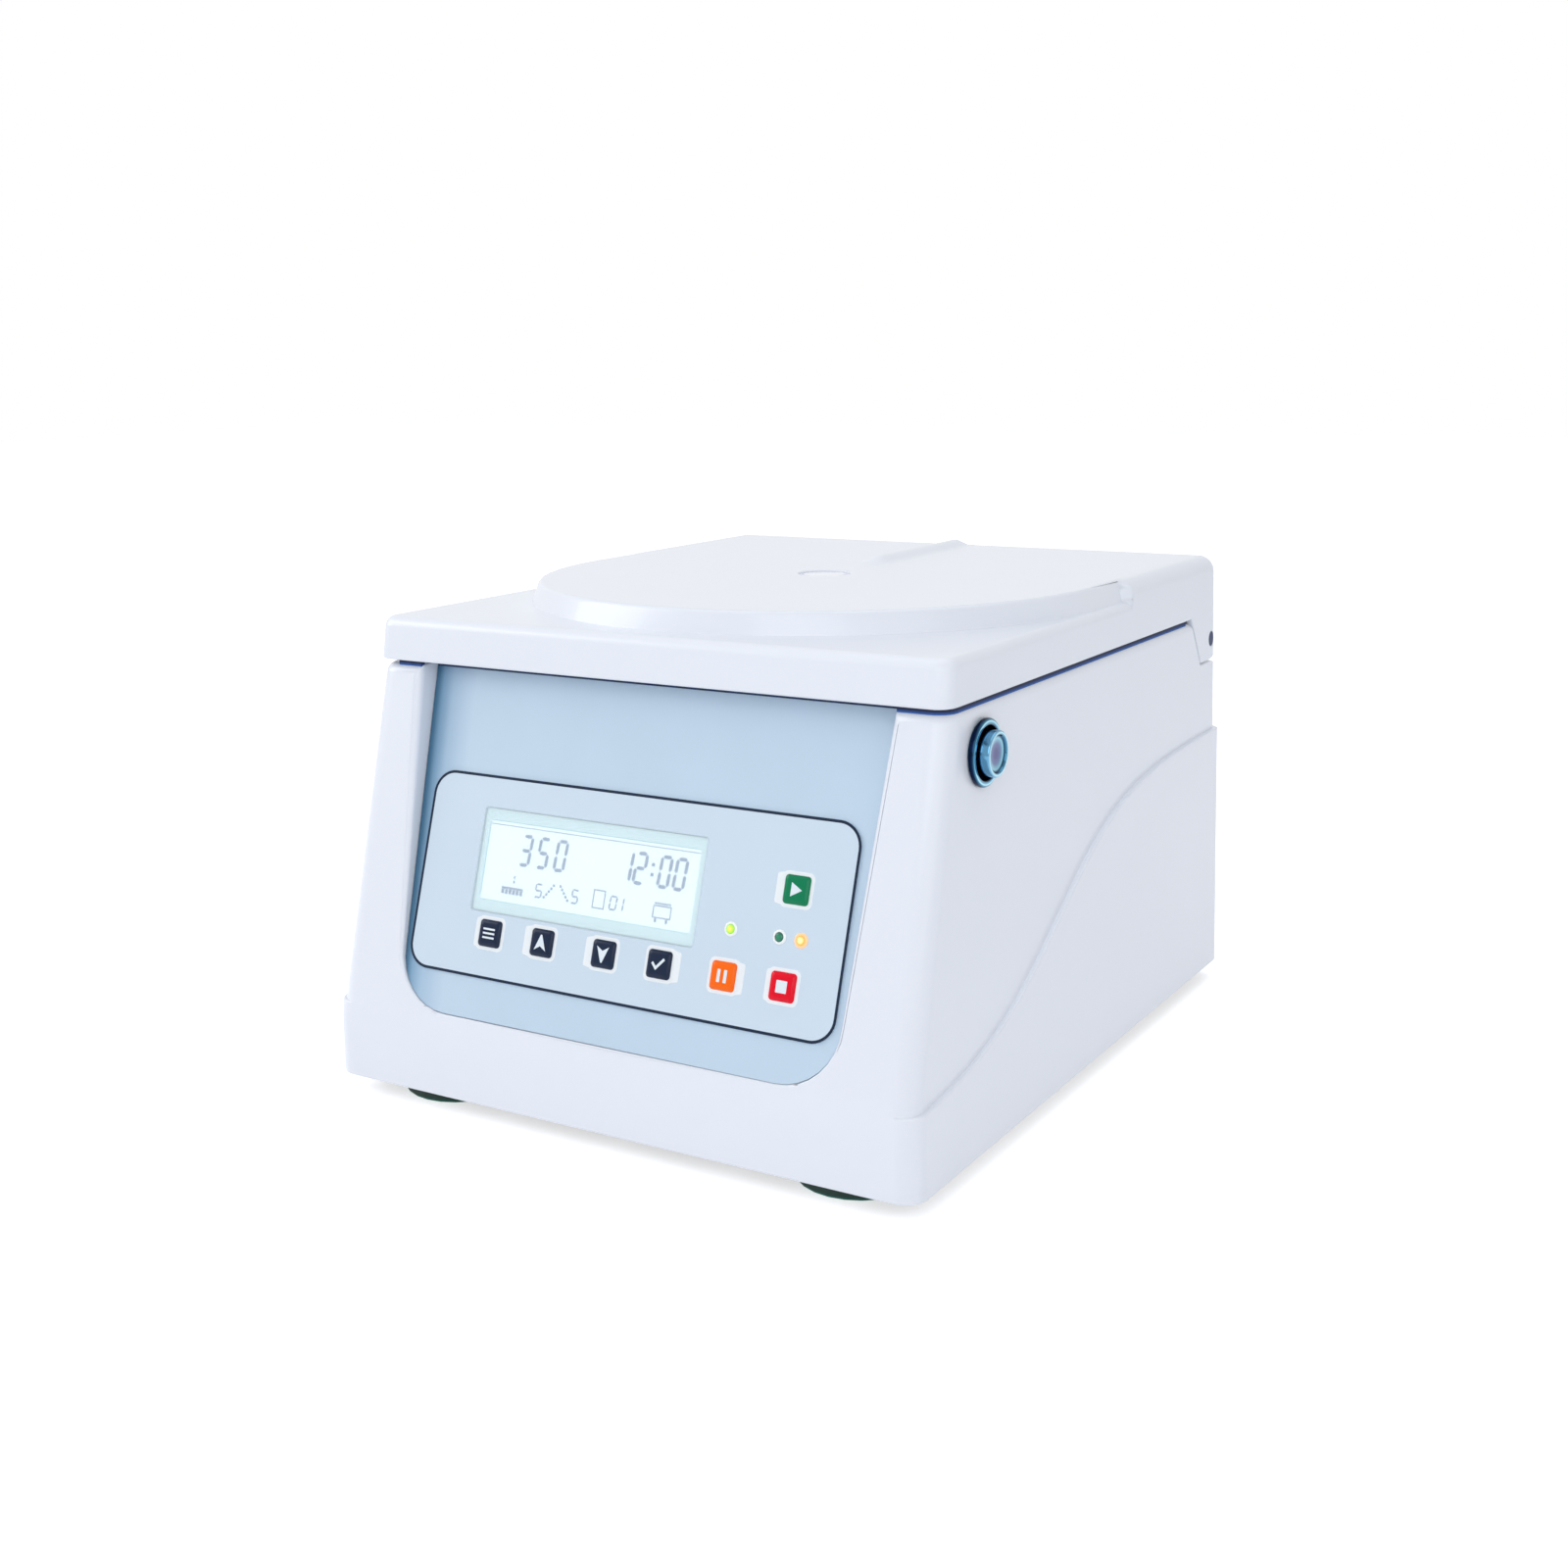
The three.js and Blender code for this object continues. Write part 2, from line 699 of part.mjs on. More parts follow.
function makeCase() {
  const shelf = sweptX([
    [earLine(shelfHeight, -earGap), shelfHeight],
    [rearAt(shelfHeight) - shelfChamferRun, shelfHeight],
    [rearY, shelfHeight - shelfChamferDrop],
    [rearY + overrun, shelfHeight - shelfChamferDrop],
    [rearY + overrun, lidTop],
    [earLine(lidTop, -earGap), lidTop],
  ], -footprintWidth, footprintWidth);
  const seat = fasciaThickness + seatGap;
  const recess = plate(recessOutline(0, recessTop + overrun), -seat, overrun).applyMatrix4(panelMatrix);
  const lipOutline = recessOutline(fasciaLip, recessTop - fasciaLip);
  const lip = plate(lipOutline, -overrun / 2, 0).applyMatrix4(panelMatrix);
  const mouth = recessMouth().transform(panelMatrix.elements);
  const chamber = cylinder(bowlRadius + seatGap, deckUnderside - overrun, caseTop + overrun,
    0, rotorY, bowlSteps);
  const lockHole = cylinderX(lockSleeveRadius + seatGap, sideAt(lockHeight) - overrun / 2,
    sideAt(lockHeight) + overrun, lockY, lockHeight);
  const slotHalf = strikerWidth / 2 + strikerSlotClearance;
  const slotReach = strikerThickness / 2 + strikerSlotClearance;
  const strikerSlot = block([strikerX - slotReach, lockY - slotHalf, deckUnderside - overrun / 2],
    [strikerX + slotReach, lockY + slotHalf, caseTop + overrun]);
  const pocketShape = roundedRectangle(pocketWidth, pocketHeight, pocketRadius, 0, pocketCentreHeight);
  const pocket = sweptY(pocketShape, pocketY, rearY + overrun, cornerSteps);
  const through = (x, width, height) => {
    const [holeWidth, holeHeight] = [width + 2 * seatGap, height + 2 * seatGap];
    const hole = roundedRectangle(holeWidth, holeHeight, windowCornerRadius, x, pocketCentreHeight);
    return sweptY(hole, pocketY - overrun / 2, pocketY + overrun / 2);
  };
  const backHoles = [
    through(inletX, inletWidth, inletHeight),
    through(switchX, rockerBodyWidth, rockerBodyHeight),
    through(ventX, ventWidth, ventHeight),
  ];
  const panelCuts = [solid(recess), solid(lip), mouth];
  return cut(makeCaseOutside(), makeCaseInside(), shelf, ...panelCuts, chamber, lockHole, strikerSlot,
    pocket, ...backHoles);
}

// Base pan with bosses for the motor's rubber mounts
function makeBasePan() {
  const outline = planOutline(0, sideAt(footHeight) - caseWall - seatGap, frontY + frontWall + seatGap,
    rearAt(footHeight) - rearWall - seatGap, caseFrontRadius, caseRearRadius);
  const raise = (z) => outline.map((point) => new THREE.Vector3(point.x, point.y, z));
  const bosses = damperPlaces().map(([x, y]) => (
    cylinder(bossRadius, panUnderside, panTop + bossHeight, x, y, smallSteps)
  ));
  return join(loft([raise(panUnderside), raise(panTop)]), ...bosses);
}

function damperPlaces() {
  const reach = damperSpacing / 2;
  const [low, high] = [rotorY - reach, rotorY + reach];
  return [[-reach, low], [reach, low], [reach, high], [-reach, high]];
}

function makeFoot() {
  return turned([
    [0, 0],
    [footSoleRadius, 0],
    [footRadius, footBevel],
    [footRadius, footHeight],
    [0, footHeight],
  ], roundSteps);
}

// Control panel: plate, printed overlay, display, keys, lamps and board, all drawn on the panel's face
function displayPlate(width, height, low, high) {
  const x = displayCentreShare * overlayWidth;
  const shape = roundedRectangle(width, height, windowCornerRadius, x, displayCentreUp);
  return solid(plate(shape, low, high, smallCornerSteps));
}

function panelOpenings() {
  const width = keySize + 2 * keyClearance;
  const keys = keyShares.map(([, share, up]) => {
    const shape = roundedRectangle(width, width, keyCornerRadius, share * overlayWidth, up);
    return solid(plate(shape, -overrun, overrun, smallCornerSteps));
  });
  const lamps = lampShares.map(([, share]) => (
    cylinder(lampRadius + lampClearance, -overrun, overrun, share * overlayWidth, lampRow, smallSteps)
  ));
  return [displayPlate(windowWidth, windowHeight, -overrun, overrun), ...keys, ...lamps];
}

function makeFascia() {
  const body = solid(plate(recessOutline(seatGap, recessTop - seatGap), -fasciaThickness, 0));
  return cut(body, ...panelOpenings());
}

function makeOverlay() {
  const shape = roundedRectangle(overlayWidth, overlayHeight, overlayCornerRadius, 0, overlayHeight / 2);
  return cut(solid(plate(shape, seatGap, seatGap + overlayThickness)), ...panelOpenings());
}

function makeDisplayWindow() {
  const height = windowHeight - 2 * seatGap;
  return displayPlate(windowWidth - 2 * seatGap, height, seatGap, seatGap + overlayThickness);
}

function makeDisplay() {
  const body = displayPlate(windowWidth - 2 * seatGap, windowHeight - 2 * seatGap, -displayDepth, 0);
  return body.subtract(displayPlate(glassWidth, glassHeight, -glassRecess, overrun));
}

function squareSection(half, radius, z) {
  return planOutline(z, half, -half, half, radius, radius, smallCornerSteps);
}

function makeKey() {
  const half = keySize / 2;
  const cap = loft([
    squareSection(half, keyCornerRadius, -keySkirtDepth),
    squareSection(half, keyCornerRadius, keyShoulder - keyShoulderInset),
    squareSection(half - keyShoulderInset, keyCornerRadius, keyShoulder),
    squareSection(half - keyCrownInset, keyCornerRadius, keyRise),
  ]);
  const stemHalf = keyStemWidth / 2;
  const stemFoot = -boardDepth + boardThickness + switchHeight + stemGap;
  const stem = block([-stemHalf, -stemHalf, stemFoot], [stemHalf, stemHalf, 0]);
  return cap.add(stem);
}

function makeLamp() {
  const foot = -boardDepth + boardThickness + seatGap;
  const top = seatGap + overlayThickness + lampRise;
  return turned([
    [0, foot],
    [lampRadius, foot],
    [lampRadius, top - lampRise],
    [lampRadius * Math.cos(Math.PI / 4), top - lampRise * (1 - Math.sin(Math.PI / 4))],
    [0, top],
  ], smallSteps);
}

function makeControlBoard() {
  const back = -boardDepth;
  const front = back + boardThickness;
  const board = block([-boardWidth / 2, -boardBelow, back], [boardWidth / 2, boardAbove, front]);
  const postX = boardWidth / 2 - boardPostInset;
  const postRows = [boardPostInset - boardBelow, boardAbove - boardPostInset];
  const posts = [-postX, postX].flatMap((x) => postRows.map((up) => (
    cylinder(boardPostRadius, back, -fasciaThickness - seatGap, x, up, smallSteps)
  )));
  const half = switchWidth / 2;
  const switches = keyShares.map(([, share, up]) => {
    const x = share * overlayWidth;
    return block([x - half, up - half, back], [x + half, up + half, front + switchHeight]);
  });
  return join(board, ...posts, ...switches);
}

// Lid
function lidFrontAt(z) {
  return frontY + lidFrontSetback + Math.tan(degrees(lidFrontLean)) * Math.max(0, z - lidLineHeight);
}

function slabOutline(z, wall) {
  const inset = wall + (wall > 0 ? 0 : roundedInset(z, ledgeTop, ledgeFillet));
  const frontRadius = lidFrontRadius - inset;
  return planOutline(z, sideAt(z) - inset, lidFrontAt(z) + inset, rearAt(z) - inset, frontRadius,
    caseRearRadius - inset);
}

// Outline of the raised part: half a circle about the rotor in front, the lid's full width behind
function plateauOutline(z, wall) {
  const bevel = (plateauBevelRun * Math.max(0, z - ledgeTop)) / (lidTop - ledgeTop);
  const arcInset = bevel + (wall > 0 ? wall : roundedInset(z, lidTop, plateauArcFillet));
  const inset = wall > 0 ? wall : roundedInset(z, lidTop, plateauFillet);
  const arc = plateauArcRadius - arcInset;
  const half = sideAt(z) - inset;
  const rear = rearAt(z) - inset;
  const radius = Math.max(caseRearRadius - inset, lidWall / 2);
  const step = rotorY + plateauStepSetback;
  const front = Array.from({ length: plateauSteps + 1 }, (_, k) => {
    const angle = Math.PI * (1 + k / plateauSteps);
    return new THREE.Vector3(arc * Math.cos(angle), rotorY + arc * Math.sin(angle), z);
  });
  return [
    ...quarter(half - radius, rear - radius, z, radius, 0),
    ...quarter(-half + radius, rear - radius, z, radius, Math.PI / 2),
    new THREE.Vector3(-half, step + plateauStepRun + inset, z),
    new THREE.Vector3(-arc, step + arcInset, z),
    ...front,
    new THREE.Vector3(arc, step + arcInset, z),
    new THREE.Vector3(half, step + plateauStepRun + inset, z),
  ];
}

function makeLidShell() {
  const slabLevels = [earHeight, lidLineHeight, ...filletLevels(ledgeTop, ledgeFillet)];
  const slab = loft(slabLevels.map((z) => slabOutline(z, 0)));
  const plateauLevels = [ledgeTop - ledgeFillet, ledgeTop, ...filletLevels(lidTop, plateauFillet)];
  const plateau = loft(plateauLevels.map((z) => plateauOutline(z, 0)));
  const hollowLevels = [-overrun, lidLineHeight, ledgeTop - lidWall];
  const slabHollow = loft(hollowLevels.map((z) => slabOutline(z, lidWall)));
  const plateauHollow = loft([lidLineHeight, lidTop - lidWall].map((z) => plateauOutline(z, lidWall)));
  const underFront = sweptX([
    [earLine(0, 0), 0],
    [earLine(lidLineHeight, 0), lidLineHeight],
    [frontY - overrun, lidLineHeight],
    [frontY - overrun, 0],
  ], -footprintWidth, footprintWidth);
  const heelArc = Array.from({ length: heelSteps + 1 }, (_, k) => {
    const angle = (-Math.PI / 2) * (1 - k / heelSteps);
    return [hingeY + hingeInset * Math.cos(angle), hingeHeight + hingeInset * Math.sin(angle)];
  });
  const heel = sweptX([...heelArc, [rearY + overrun, hingeHeight], [rearY + overrun, 0], [hingeY, 0]],
    -footprintWidth, footprintWidth);
  const recess = cylinder(lensFlangeRadius + seatGap, lidTop - lensSink - lensFlangeThickness - seatGap,
    lidTop + overrun, 0, rotorY);
  const bore = cylinder(lensRadius + seatGap, lidLineHeight, lidTop + overrun, 0, rotorY);
  const faceX = sideAt(hingeHeight);
  const bosses = [-1, 1].map((side) => (
    cylinderX(earBossRadius, ...sideSpan(side, armOuterX + seatGap, faceX - lidWall / 2), hingeY, hingeHeight)
  ));
  const pinHoles = [-1, 1].flatMap((side) => [
    cylinderX(pinRadius + pinClearance, ...sideSpan(side, armOuterX - overrun / 2, faceX + overrun), hingeY,
      hingeHeight, smallSteps),
    cylinderX(pinHeadRadius + pinClearance, ...sideSpan(side, faceX - pinHeadSink, faceX + overrun), hingeY,
      hingeHeight, mediumSteps),
  ]);
  const notches = [-1, 1].map((side) => {
    const [low, high] = sideSpan(side, armInnerX - armNotchGap, armOuterX + seatGap);
    return block([low, hingeY, 0], [high, rearY + overrun, hingeHeight]);
  });
  const outside = cut(join(slab, plateau, makeRib()), underFront, heel);
  const shell = cut(outside, slabHollow, plateauHollow, recess, bore, ...notches);
  return cut(join(shell, ...bosses), ...pinHoles);
}

// Places along X, from the middle outwards, turned to the side that is asked for
function sideSpan(side, low, high) {
  return side > 0 ? [low, high] : [-high, -low];
}

// Raised rib along the middle of the lid, from behind the lens to the back edge
function makeRib() {
  const half = ribWidth / 2;
  const bulge = (half * half + ribRise * ribRise) / (2 * ribRise);
  const centre = lidTop + ribRise - bulge;
  const spread = Math.asin(half / bulge);
  const shape = new THREE.Shape();
  shape.moveTo(half, lidTop - lidWall / 2);
  shape.absarc(0, centre, bulge, Math.PI / 2 - spread, Math.PI / 2 + spread);
  shape.lineTo(-half, lidTop - lidWall / 2);
  const front = rotorY + ribStartFromRotor;
  const rear = rearAt(lidTop) - ribEndInset;
  return sweptY(shape, front, rear, roundSteps / 4);
}

function makeLiner() {
  const low = linerFoot;
  const front = lidFrontAt(low + linerThickness) + lidWall + seatGap;
  const rear = rearAt(low) - linerRearInset;
  const half = sideAt(low) - lidWall - seatGap;
  const outline = (z) => planOutline(z, half, front, rear, linerRadius, linerRadius);
  const body = loft([outline(low), outline(low + linerThickness)]);
  return body.subtract(cylinder(lensRadius + seatGap, low - overrun, low + overrun, 0, rotorY));
}

function makeGasket() {
  const low = bowlRim + seatGap;
  const high = linerFoot - seatGap;
  return turned([
    [gasketInnerRadius, low],
    [gasketOuterRadius, low],
    [gasketOuterRadius, high],
    [gasketInnerRadius, high],
    [gasketInnerRadius, low],
  ]);
}

function makeLens() {
  const top = lidTop - lensSink;
  return turned([
    [0, linerFoot],
    [lensRadius, linerFoot],
    [lensRadius, top - lensFlangeThickness],
    [lensFlangeRadius, top - lensFlangeThickness],
    [lensFlangeRadius, top],
    [0, top],
  ], roundSteps);
}

function makeStriker() {
  const low = strikerX - strikerThickness / 2;
  const high = strikerX + strikerThickness / 2;
  const half = strikerWidth / 2;
  const windowHalf = strikerWindowWidth / 2;
  const body = block([low, lockY - half, lockHeight - strikerBelow],
    [high, lockY + half, linerFoot - seatGap]);
  const window = block([low - overrun, lockY - windowHalf, lockHeight],
    [high + overrun, lockY + windowHalf, lockHeight + strikerWindowHeight]);
  return body.subtract(window);
}

// Hinge
function makeHingeArm(side) {
  const slantFoot = shelfHeight + armRootLow;
  const slantTop = shelfHeight + armRootHigh;
  const offset = -earGap + seatGap;
  const boss = Array.from({ length: armSteps + 1 }, (_, k) => {
    const angle = -Math.PI / 2 + (Math.PI * k) / armSteps;
    return [hingeY + armBossRadius * Math.cos(angle), hingeHeight + armBossRadius * Math.sin(angle)];
  });
  const profile = [[earLine(slantFoot, offset), slantFoot], ...boss, [earLine(slantTop, offset), slantTop]];
  const body = sweptX(profile, ...sideSpan(side, armInnerX, armOuterX));
  const span = sideSpan(side, armInnerX - overrun, armOuterX + overrun);
  const bore = cylinderX(pinRadius + pinClearance, ...span, hingeY, hingeHeight, smallSteps);
  return body.subtract(bore);
}

function makeHingePin(side) {
  const face = sideAt(hingeHeight) - pinHeadSink + seatGap;
  const shankSpan = sideSpan(side, armInnerX, face + pinHeadThickness / 2);
  const shank = cylinderX(pinRadius, ...shankSpan, hingeY, hingeHeight, smallSteps);
  const headSpan = sideSpan(side, face, face + pinHeadThickness);
  const head = cylinderX(pinHeadRadius, ...headSpan, hingeY, hingeHeight, mediumSteps);
  return shank.add(head);
}

// Chamber
function makeBowl() {
  const outer = bowlRadius;
  const inner = bowlRadius - bowlThickness;
  const low = bowlFloor;
  const bend = (radius, centre, reach) => filletAngles.map((angle) => [
    centre + reach * Math.sin(degrees(angle)),
    low + radius - reach * Math.cos(degrees(angle)),
  ]);
  const centre = outer - bowlCornerRadius;
  const outside = bend(bowlCornerRadius, centre, bowlCornerRadius);
  const inside = bend(bowlCornerRadius, centre, bowlCornerRadius - bowlThickness).reverse();
  const underRim = caseTop + seatGap;
  return turned([
    [bowlHoleRadius, low],
    ...outside,
    [outer, underRim],
    [bowlFlangeRadius, underRim],
    [bowlFlangeRadius, bowlRim],
    [inner, bowlRim],
    ...inside,
    [bowlHoleRadius, low + bowlThickness],
    [bowlHoleRadius, low],
  ], bowlSteps);
}

// Motor
function makeMotor() {
  const flangeTop = motorFoot + motorFlangeThickness;
  const barrel = cylinder(motorRadius, motorFoot, motorTop);
  const body = join(barrel, cylinder(motorFlangeRadius, motorFoot, flangeTop));
  const seatRadius = bearingRadius + seatGap;
  const boreRadius = shaftRadius + 2 * bearingGap;
  return cut(body, cylinder(boreRadius, motorFoot - overrun, motorTop + overrun, 0, 0, smallSteps),
    cylinder(seatRadius, motorTop - bearingHeight - seatGap, motorTop + overrun, 0, 0, mediumSteps),
    cylinder(seatRadius, motorFoot - overrun, motorFoot + bearingHeight + seatGap, 0, 0,
      mediumSteps));
}

function makeBearing(low) {
  return turned([
    [shaftRadius + bearingGap, low],
    [bearingRadius, low],
    [bearingRadius, low + bearingHeight],
    [shaftRadius + bearingGap, low + bearingHeight],
    [shaftRadius + bearingGap, low],
  ], mediumSteps);
}

function makeMotorPlate() {
  const body = solid(plate(roundedRectangle(motorPlateWidth, motorPlateWidth, motorPlateRadius), plateFoot,
    plateFoot + motorPlateThickness));
  return body.subtract(cylinder(shaftRadius + 2 * bearingGap, -overrun, overrun, 0, 0, smallSteps));
}

function makeDamper() {
  const middle = damperFoot + damperHeight / 2;
  const top = damperFoot + damperHeight;
  return turned([
    [0, damperFoot],
    [damperRadius, damperFoot],
    [damperWaistRadius, middle],
    [damperRadius, top],
    [0, top],
  ], smallSteps);
}

function makeBoot() {
  const low = motorTop + seatGap;
  const shoulder = bowlFloor - seatGap;
  const top = bowlFloor + bootNeckHeight;
  return turned([
    [bootBoreRadius, low],
    [bootRadius, low],
    [bootRadius, shoulder],
    [bootNeckRadius, shoulder],
    [bootNeckRadius, top],
    [bootBoreRadius, top],
    [bootBoreRadius, low],
  ], mediumSteps);
}

// Rotor
function dishHeight(radius) {
  return tubeSeatHeight + (radius - tubeCircleRadius) * Math.tan(degrees(tubeTilt));
}

function makeRotorPlate() {
  const bore = shaftRadius + bearingGap;
  const drop = dishThickness / Math.cos(degrees(tubeTilt));
  const body = solid(turned([
    [bore, hubBottom],
    [hubRadius, hubBottom],
    [hubRadius, dishHeight(hubRadius) - drop],
    [dishRadius, dishHeight(dishRadius) - drop],
    [dishRadius, dishHeight(dishRadius)],
    [hubRadius, dishHeight(hubRadius)],
    [hubRadius, hubTop],
    [bore, hubTop],
    [bore, hubBottom],
  ], bowlSteps));
  const holeRadius = tubeOuterRadius + tubeHoleClearance;
  const spotRadius = tubeFlangeRadius + tubeHoleClearance;
  const hole = turned([
    [0, -2 * dishThickness],
    [holeRadius, -2 * dishThickness],
    [holeRadius, 0],
    [spotRadius, 0],
    [spotRadius, dishThickness],
    [0, dishThickness],
  ], smallSteps);
  const holes = tubeMatrices().map((matrix) => solid(hole.clone().applyMatrix4(matrix)));
  return cut(body, ...holes);
}

// Where each tube holder stands: round the rotor, leaning in at the top
function tubeMatrices() {
  return Array.from({ length: tubeCount }, (_, k) => {
    const round = new THREE.Matrix4().makeRotationZ((2 * Math.PI * (k + 0.5)) / tubeCount);
    const out = new THREE.Matrix4().makeTranslation(tubeCircleRadius, 0, tubeSeatHeight);
    const lean = new THREE.Matrix4().makeRotationY(-degrees(tubeTilt));
    return round.multiply(out).multiply(lean);
  });
}

function makeTubeHolder() {
  const round = tubeOuterRadius;
  const low = -tubeLength;
  const flange = seatGap + tubeFlangeThickness;
  const bend = round * Math.cos(Math.PI / 4);
  const innerFloor = low + tubeFloor;
  return turned([
    [0, low],
    [bend, low + round - bend],
    [round, low + round],
    [round, seatGap],
    [tubeFlangeRadius, seatGap],
    [tubeFlangeRadius, flange],
    [tubeBoreRadius, flange],
    [tubeBoreRadius, innerFloor + tubeBoreRadius],
    [tubeBoreRadius * Math.cos(Math.PI / 4), innerFloor + tubeBoreRadius * (1 - Math.sin(Math.PI / 4))],
    [0, innerFloor],
  ], smallSteps);
}

function makeShaft() {
  return cylinder(shaftRadius, shaftBottom, shaftTop, 0, 0, smallSteps);
}

function makeKnob() {
  const low = hubTop + seatGap;
  const bore = shaftRadius + bearingGap;
  const top = low + knobHeight;
  return turned([
    [0, low + knobBoreDepth],
    [bore, low + knobBoreDepth],
    [bore, low],
    [knobRadius, low],
    [knobRadius, top - knobChamfer],
    [knobRadius - knobChamfer, top],
    [0, top],
  ], mediumSteps);
}

// Power board with its heat sink and capacitors
function makePowerBoard() {
  const foot = panTop + seatGap;
  const low = foot + powerPostHeight;
  const high = low + powerBoardThickness;
  const halfX = powerBoardWidth / 2;
  const halfY = powerBoardDepth / 2;
  const board = block([-halfX, -halfY, low], [halfX, halfY, high]);
  const postX = halfX - powerPostInset;
  const postY = halfY - powerPostInset;
  const posts = [-postX, postX].flatMap((x) => [-postY, postY].map((y) => (
    cylinder(powerPostRadius, foot, high, x, y, smallSteps)
  )));
  const sinkHalf = heatSinkWidth / 2;
  const sink = block([-sinkHalf, postY - heatSinkDepth, low], [sinkHalf, postY, low + heatSinkHeight]);
  const cans = [-1, 0, 1].map((place) => (
    cylinder(capacitorRadius, low, low + capacitorHeight, place * capacitorSpacing, 0, smallSteps)
  ));
  return join(board, sink, ...posts, ...cans);
}

// Mains inlet with a fuse drawer beside it
function makeInlet() {
  const face = pocketY + seatGap;
  const z = pocketCentreHeight;
  const body = sweptY(roundedRectangle(inletWidth, inletHeight, windowCornerRadius, inletX, z),
    pocketY - inletDepth, face + flangeThickness / 2);
  const flange = sweptY(
    roundedRectangle(inletFlangeWidth, inletFlangeHeight, windowCornerRadius, inletX, z),
    face,
    face + flangeThickness,
  );
  const wellX = inletX + wellShift;
  const front = face + flangeThickness;
  const well = sweptY(roundedRectangle(wellWidth, wellHeight, windowCornerRadius, wellX, z),
    front - wellDepth, front + overrun);
  const slotX = inletX + fuseShift;
  const slot = sweptY(roundedRectangle(fuseSlotWidth, fuseSlotHeight, windowCornerRadius, slotX, z),
    front - fuseSlotDepth, front + overrun);
  const blades = [-1, 0, 1].map((place) => {
    const x = wellX + place * bladeSpacing;
    const rise = place === 0 ? earthBladeRise : 0;
    return block([x - bladeWidth / 2, front - wellDepth - bladeWidth, z + rise - bladeHeight / 2],
      [x + bladeWidth / 2, front - wellDepth + bladeLength, z + rise + bladeHeight / 2]);
  });
  return join(cut(join(body, flange), well, slot), ...blades);
}

// Mains switch: the housing and the rocker that tips in it
function makeRockerHousing() {
  const face = pocketY + seatGap;
  const z = pocketCentreHeight;
  const body = sweptY(roundedRectangle(rockerBodyWidth, rockerBodyHeight, windowCornerRadius, switchX, z),
    pocketY - rockerBodyDepth, face + flangeThickness / 2);
  const flange = sweptY(
    roundedRectangle(rockerFlangeWidth, rockerFlangeHeight, windowCornerRadius, switchX, z),
    face,
    face + flangeThickness,
  );
  const front = face + flangeThickness;
  const half = [rockerWellWidth / 2, rockerWellHeight / 2];
  const well = block([switchX - half[0], front - rockerWellDepth, z - half[1]],
    [switchX + half[0], front + overrun, z + half[1]]);
  return join(body, flange).subtract(well);
}

function rockerPivot() {
  return [pocketY + seatGap + flangeThickness - rockerPivotDepth - rockerWaist, pocketCentreHeight];
}

function makeRocker() {
  const [pivotY, pivotZ] = rockerPivot();
  const profile = [
    [-rockerBack, -rockerHalfLength + rockerBack],
    [rockerPeak, -rockerHalfLength],
    [rockerWaist, 0],
    [rockerPeak, rockerHalfLength],
    [-rockerBack, rockerHalfLength - rockerBack],
  ];
  const tilt = degrees(rockerTilt);
  const tipped = profile.map(([out, up]) => [
    pivotY + out * Math.cos(tilt) - up * Math.sin(tilt),
    pivotZ + out * Math.sin(tilt) + up * Math.cos(tilt),
  ]);
  return sweptX(tipped, switchX - rockerWidth / 2, switchX + rockerWidth / 2);
}

// Vent plate with open slots
function makeVent() {
  const z = pocketCentreHeight;
  const face = pocketY + seatGap;
  const [flangeWidth, flangeHeight] = [ventWidth + 2 * ventFlange, ventHeight + 2 * ventFlange];
  const flangeShape = roundedRectangle(flangeWidth, flangeHeight, windowCornerRadius, ventX, z);
  const flange = sweptY(flangeShape, face, face + flangeThickness);
  const tray = sweptY(roundedRectangle(ventWidth, ventHeight, windowCornerRadius, ventX, z),
    pocketY - ventDepth, face + flangeThickness / 2);
  const pitch = ventHeight / ventSlatCount;
  const slots = Array.from({ length: ventSlatCount }, (_, k) => {
    const middle = z - ventHeight / 2 + pitch * (k + 0.5);
    const radius = ventSlotHeight / 2 - seatGap;
    const shape = roundedRectangle(ventWidth - 2 * ventSlotInset, ventSlotHeight, radius, ventX, middle);
    return sweptY(shape, pocketY - overrun, pocketY + overrun);
  });
  return cut(join(flange, tray), ...slots);
}

// Lid lock: flange with its sleeve, nut, push button and catch
function lockFace() {
  return sideAt(lockHeight) + lockStandOff;
}

// A turned piece that points along +X from the lock's centre
function turnedX(profile, steps) {
  return turned(profile, steps).rotateY(Math.PI / 2).translate(0, lockY, lockHeight);
}

function makeLockFlange() {
  const face = lockFace();
  const bore = buttonRadius + lockBoreClearance;
  return turnedX([
    [bore, face - lockSleeveDepth],
    [lockSleeveRadius, face - lockSleeveDepth],
    [lockSleeveRadius, face],
    [lockFlangeRadius, face],
    [lockFlangeRadius, face + lockFlangeThickness - lockFlangeBevel],
    [lockFlangeRadius - lockFlangeBevel, face + lockFlangeThickness],
    [bore, face + lockFlangeThickness],
    [bore, face - lockSleeveDepth],
  ]);
}

function makeLockNut() {
  const outer = sideAt(lockHeight) - caseWall - 2 * seatGap;
  return turnedX([
    [lockSleeveRadius + seatGap, outer - nutThickness],
    [nutRadius, outer - nutThickness],
    [nutRadius, outer],
    [lockSleeveRadius + seatGap, outer],
    [lockSleeveRadius + seatGap, outer - nutThickness],
  ], mediumSteps);
}

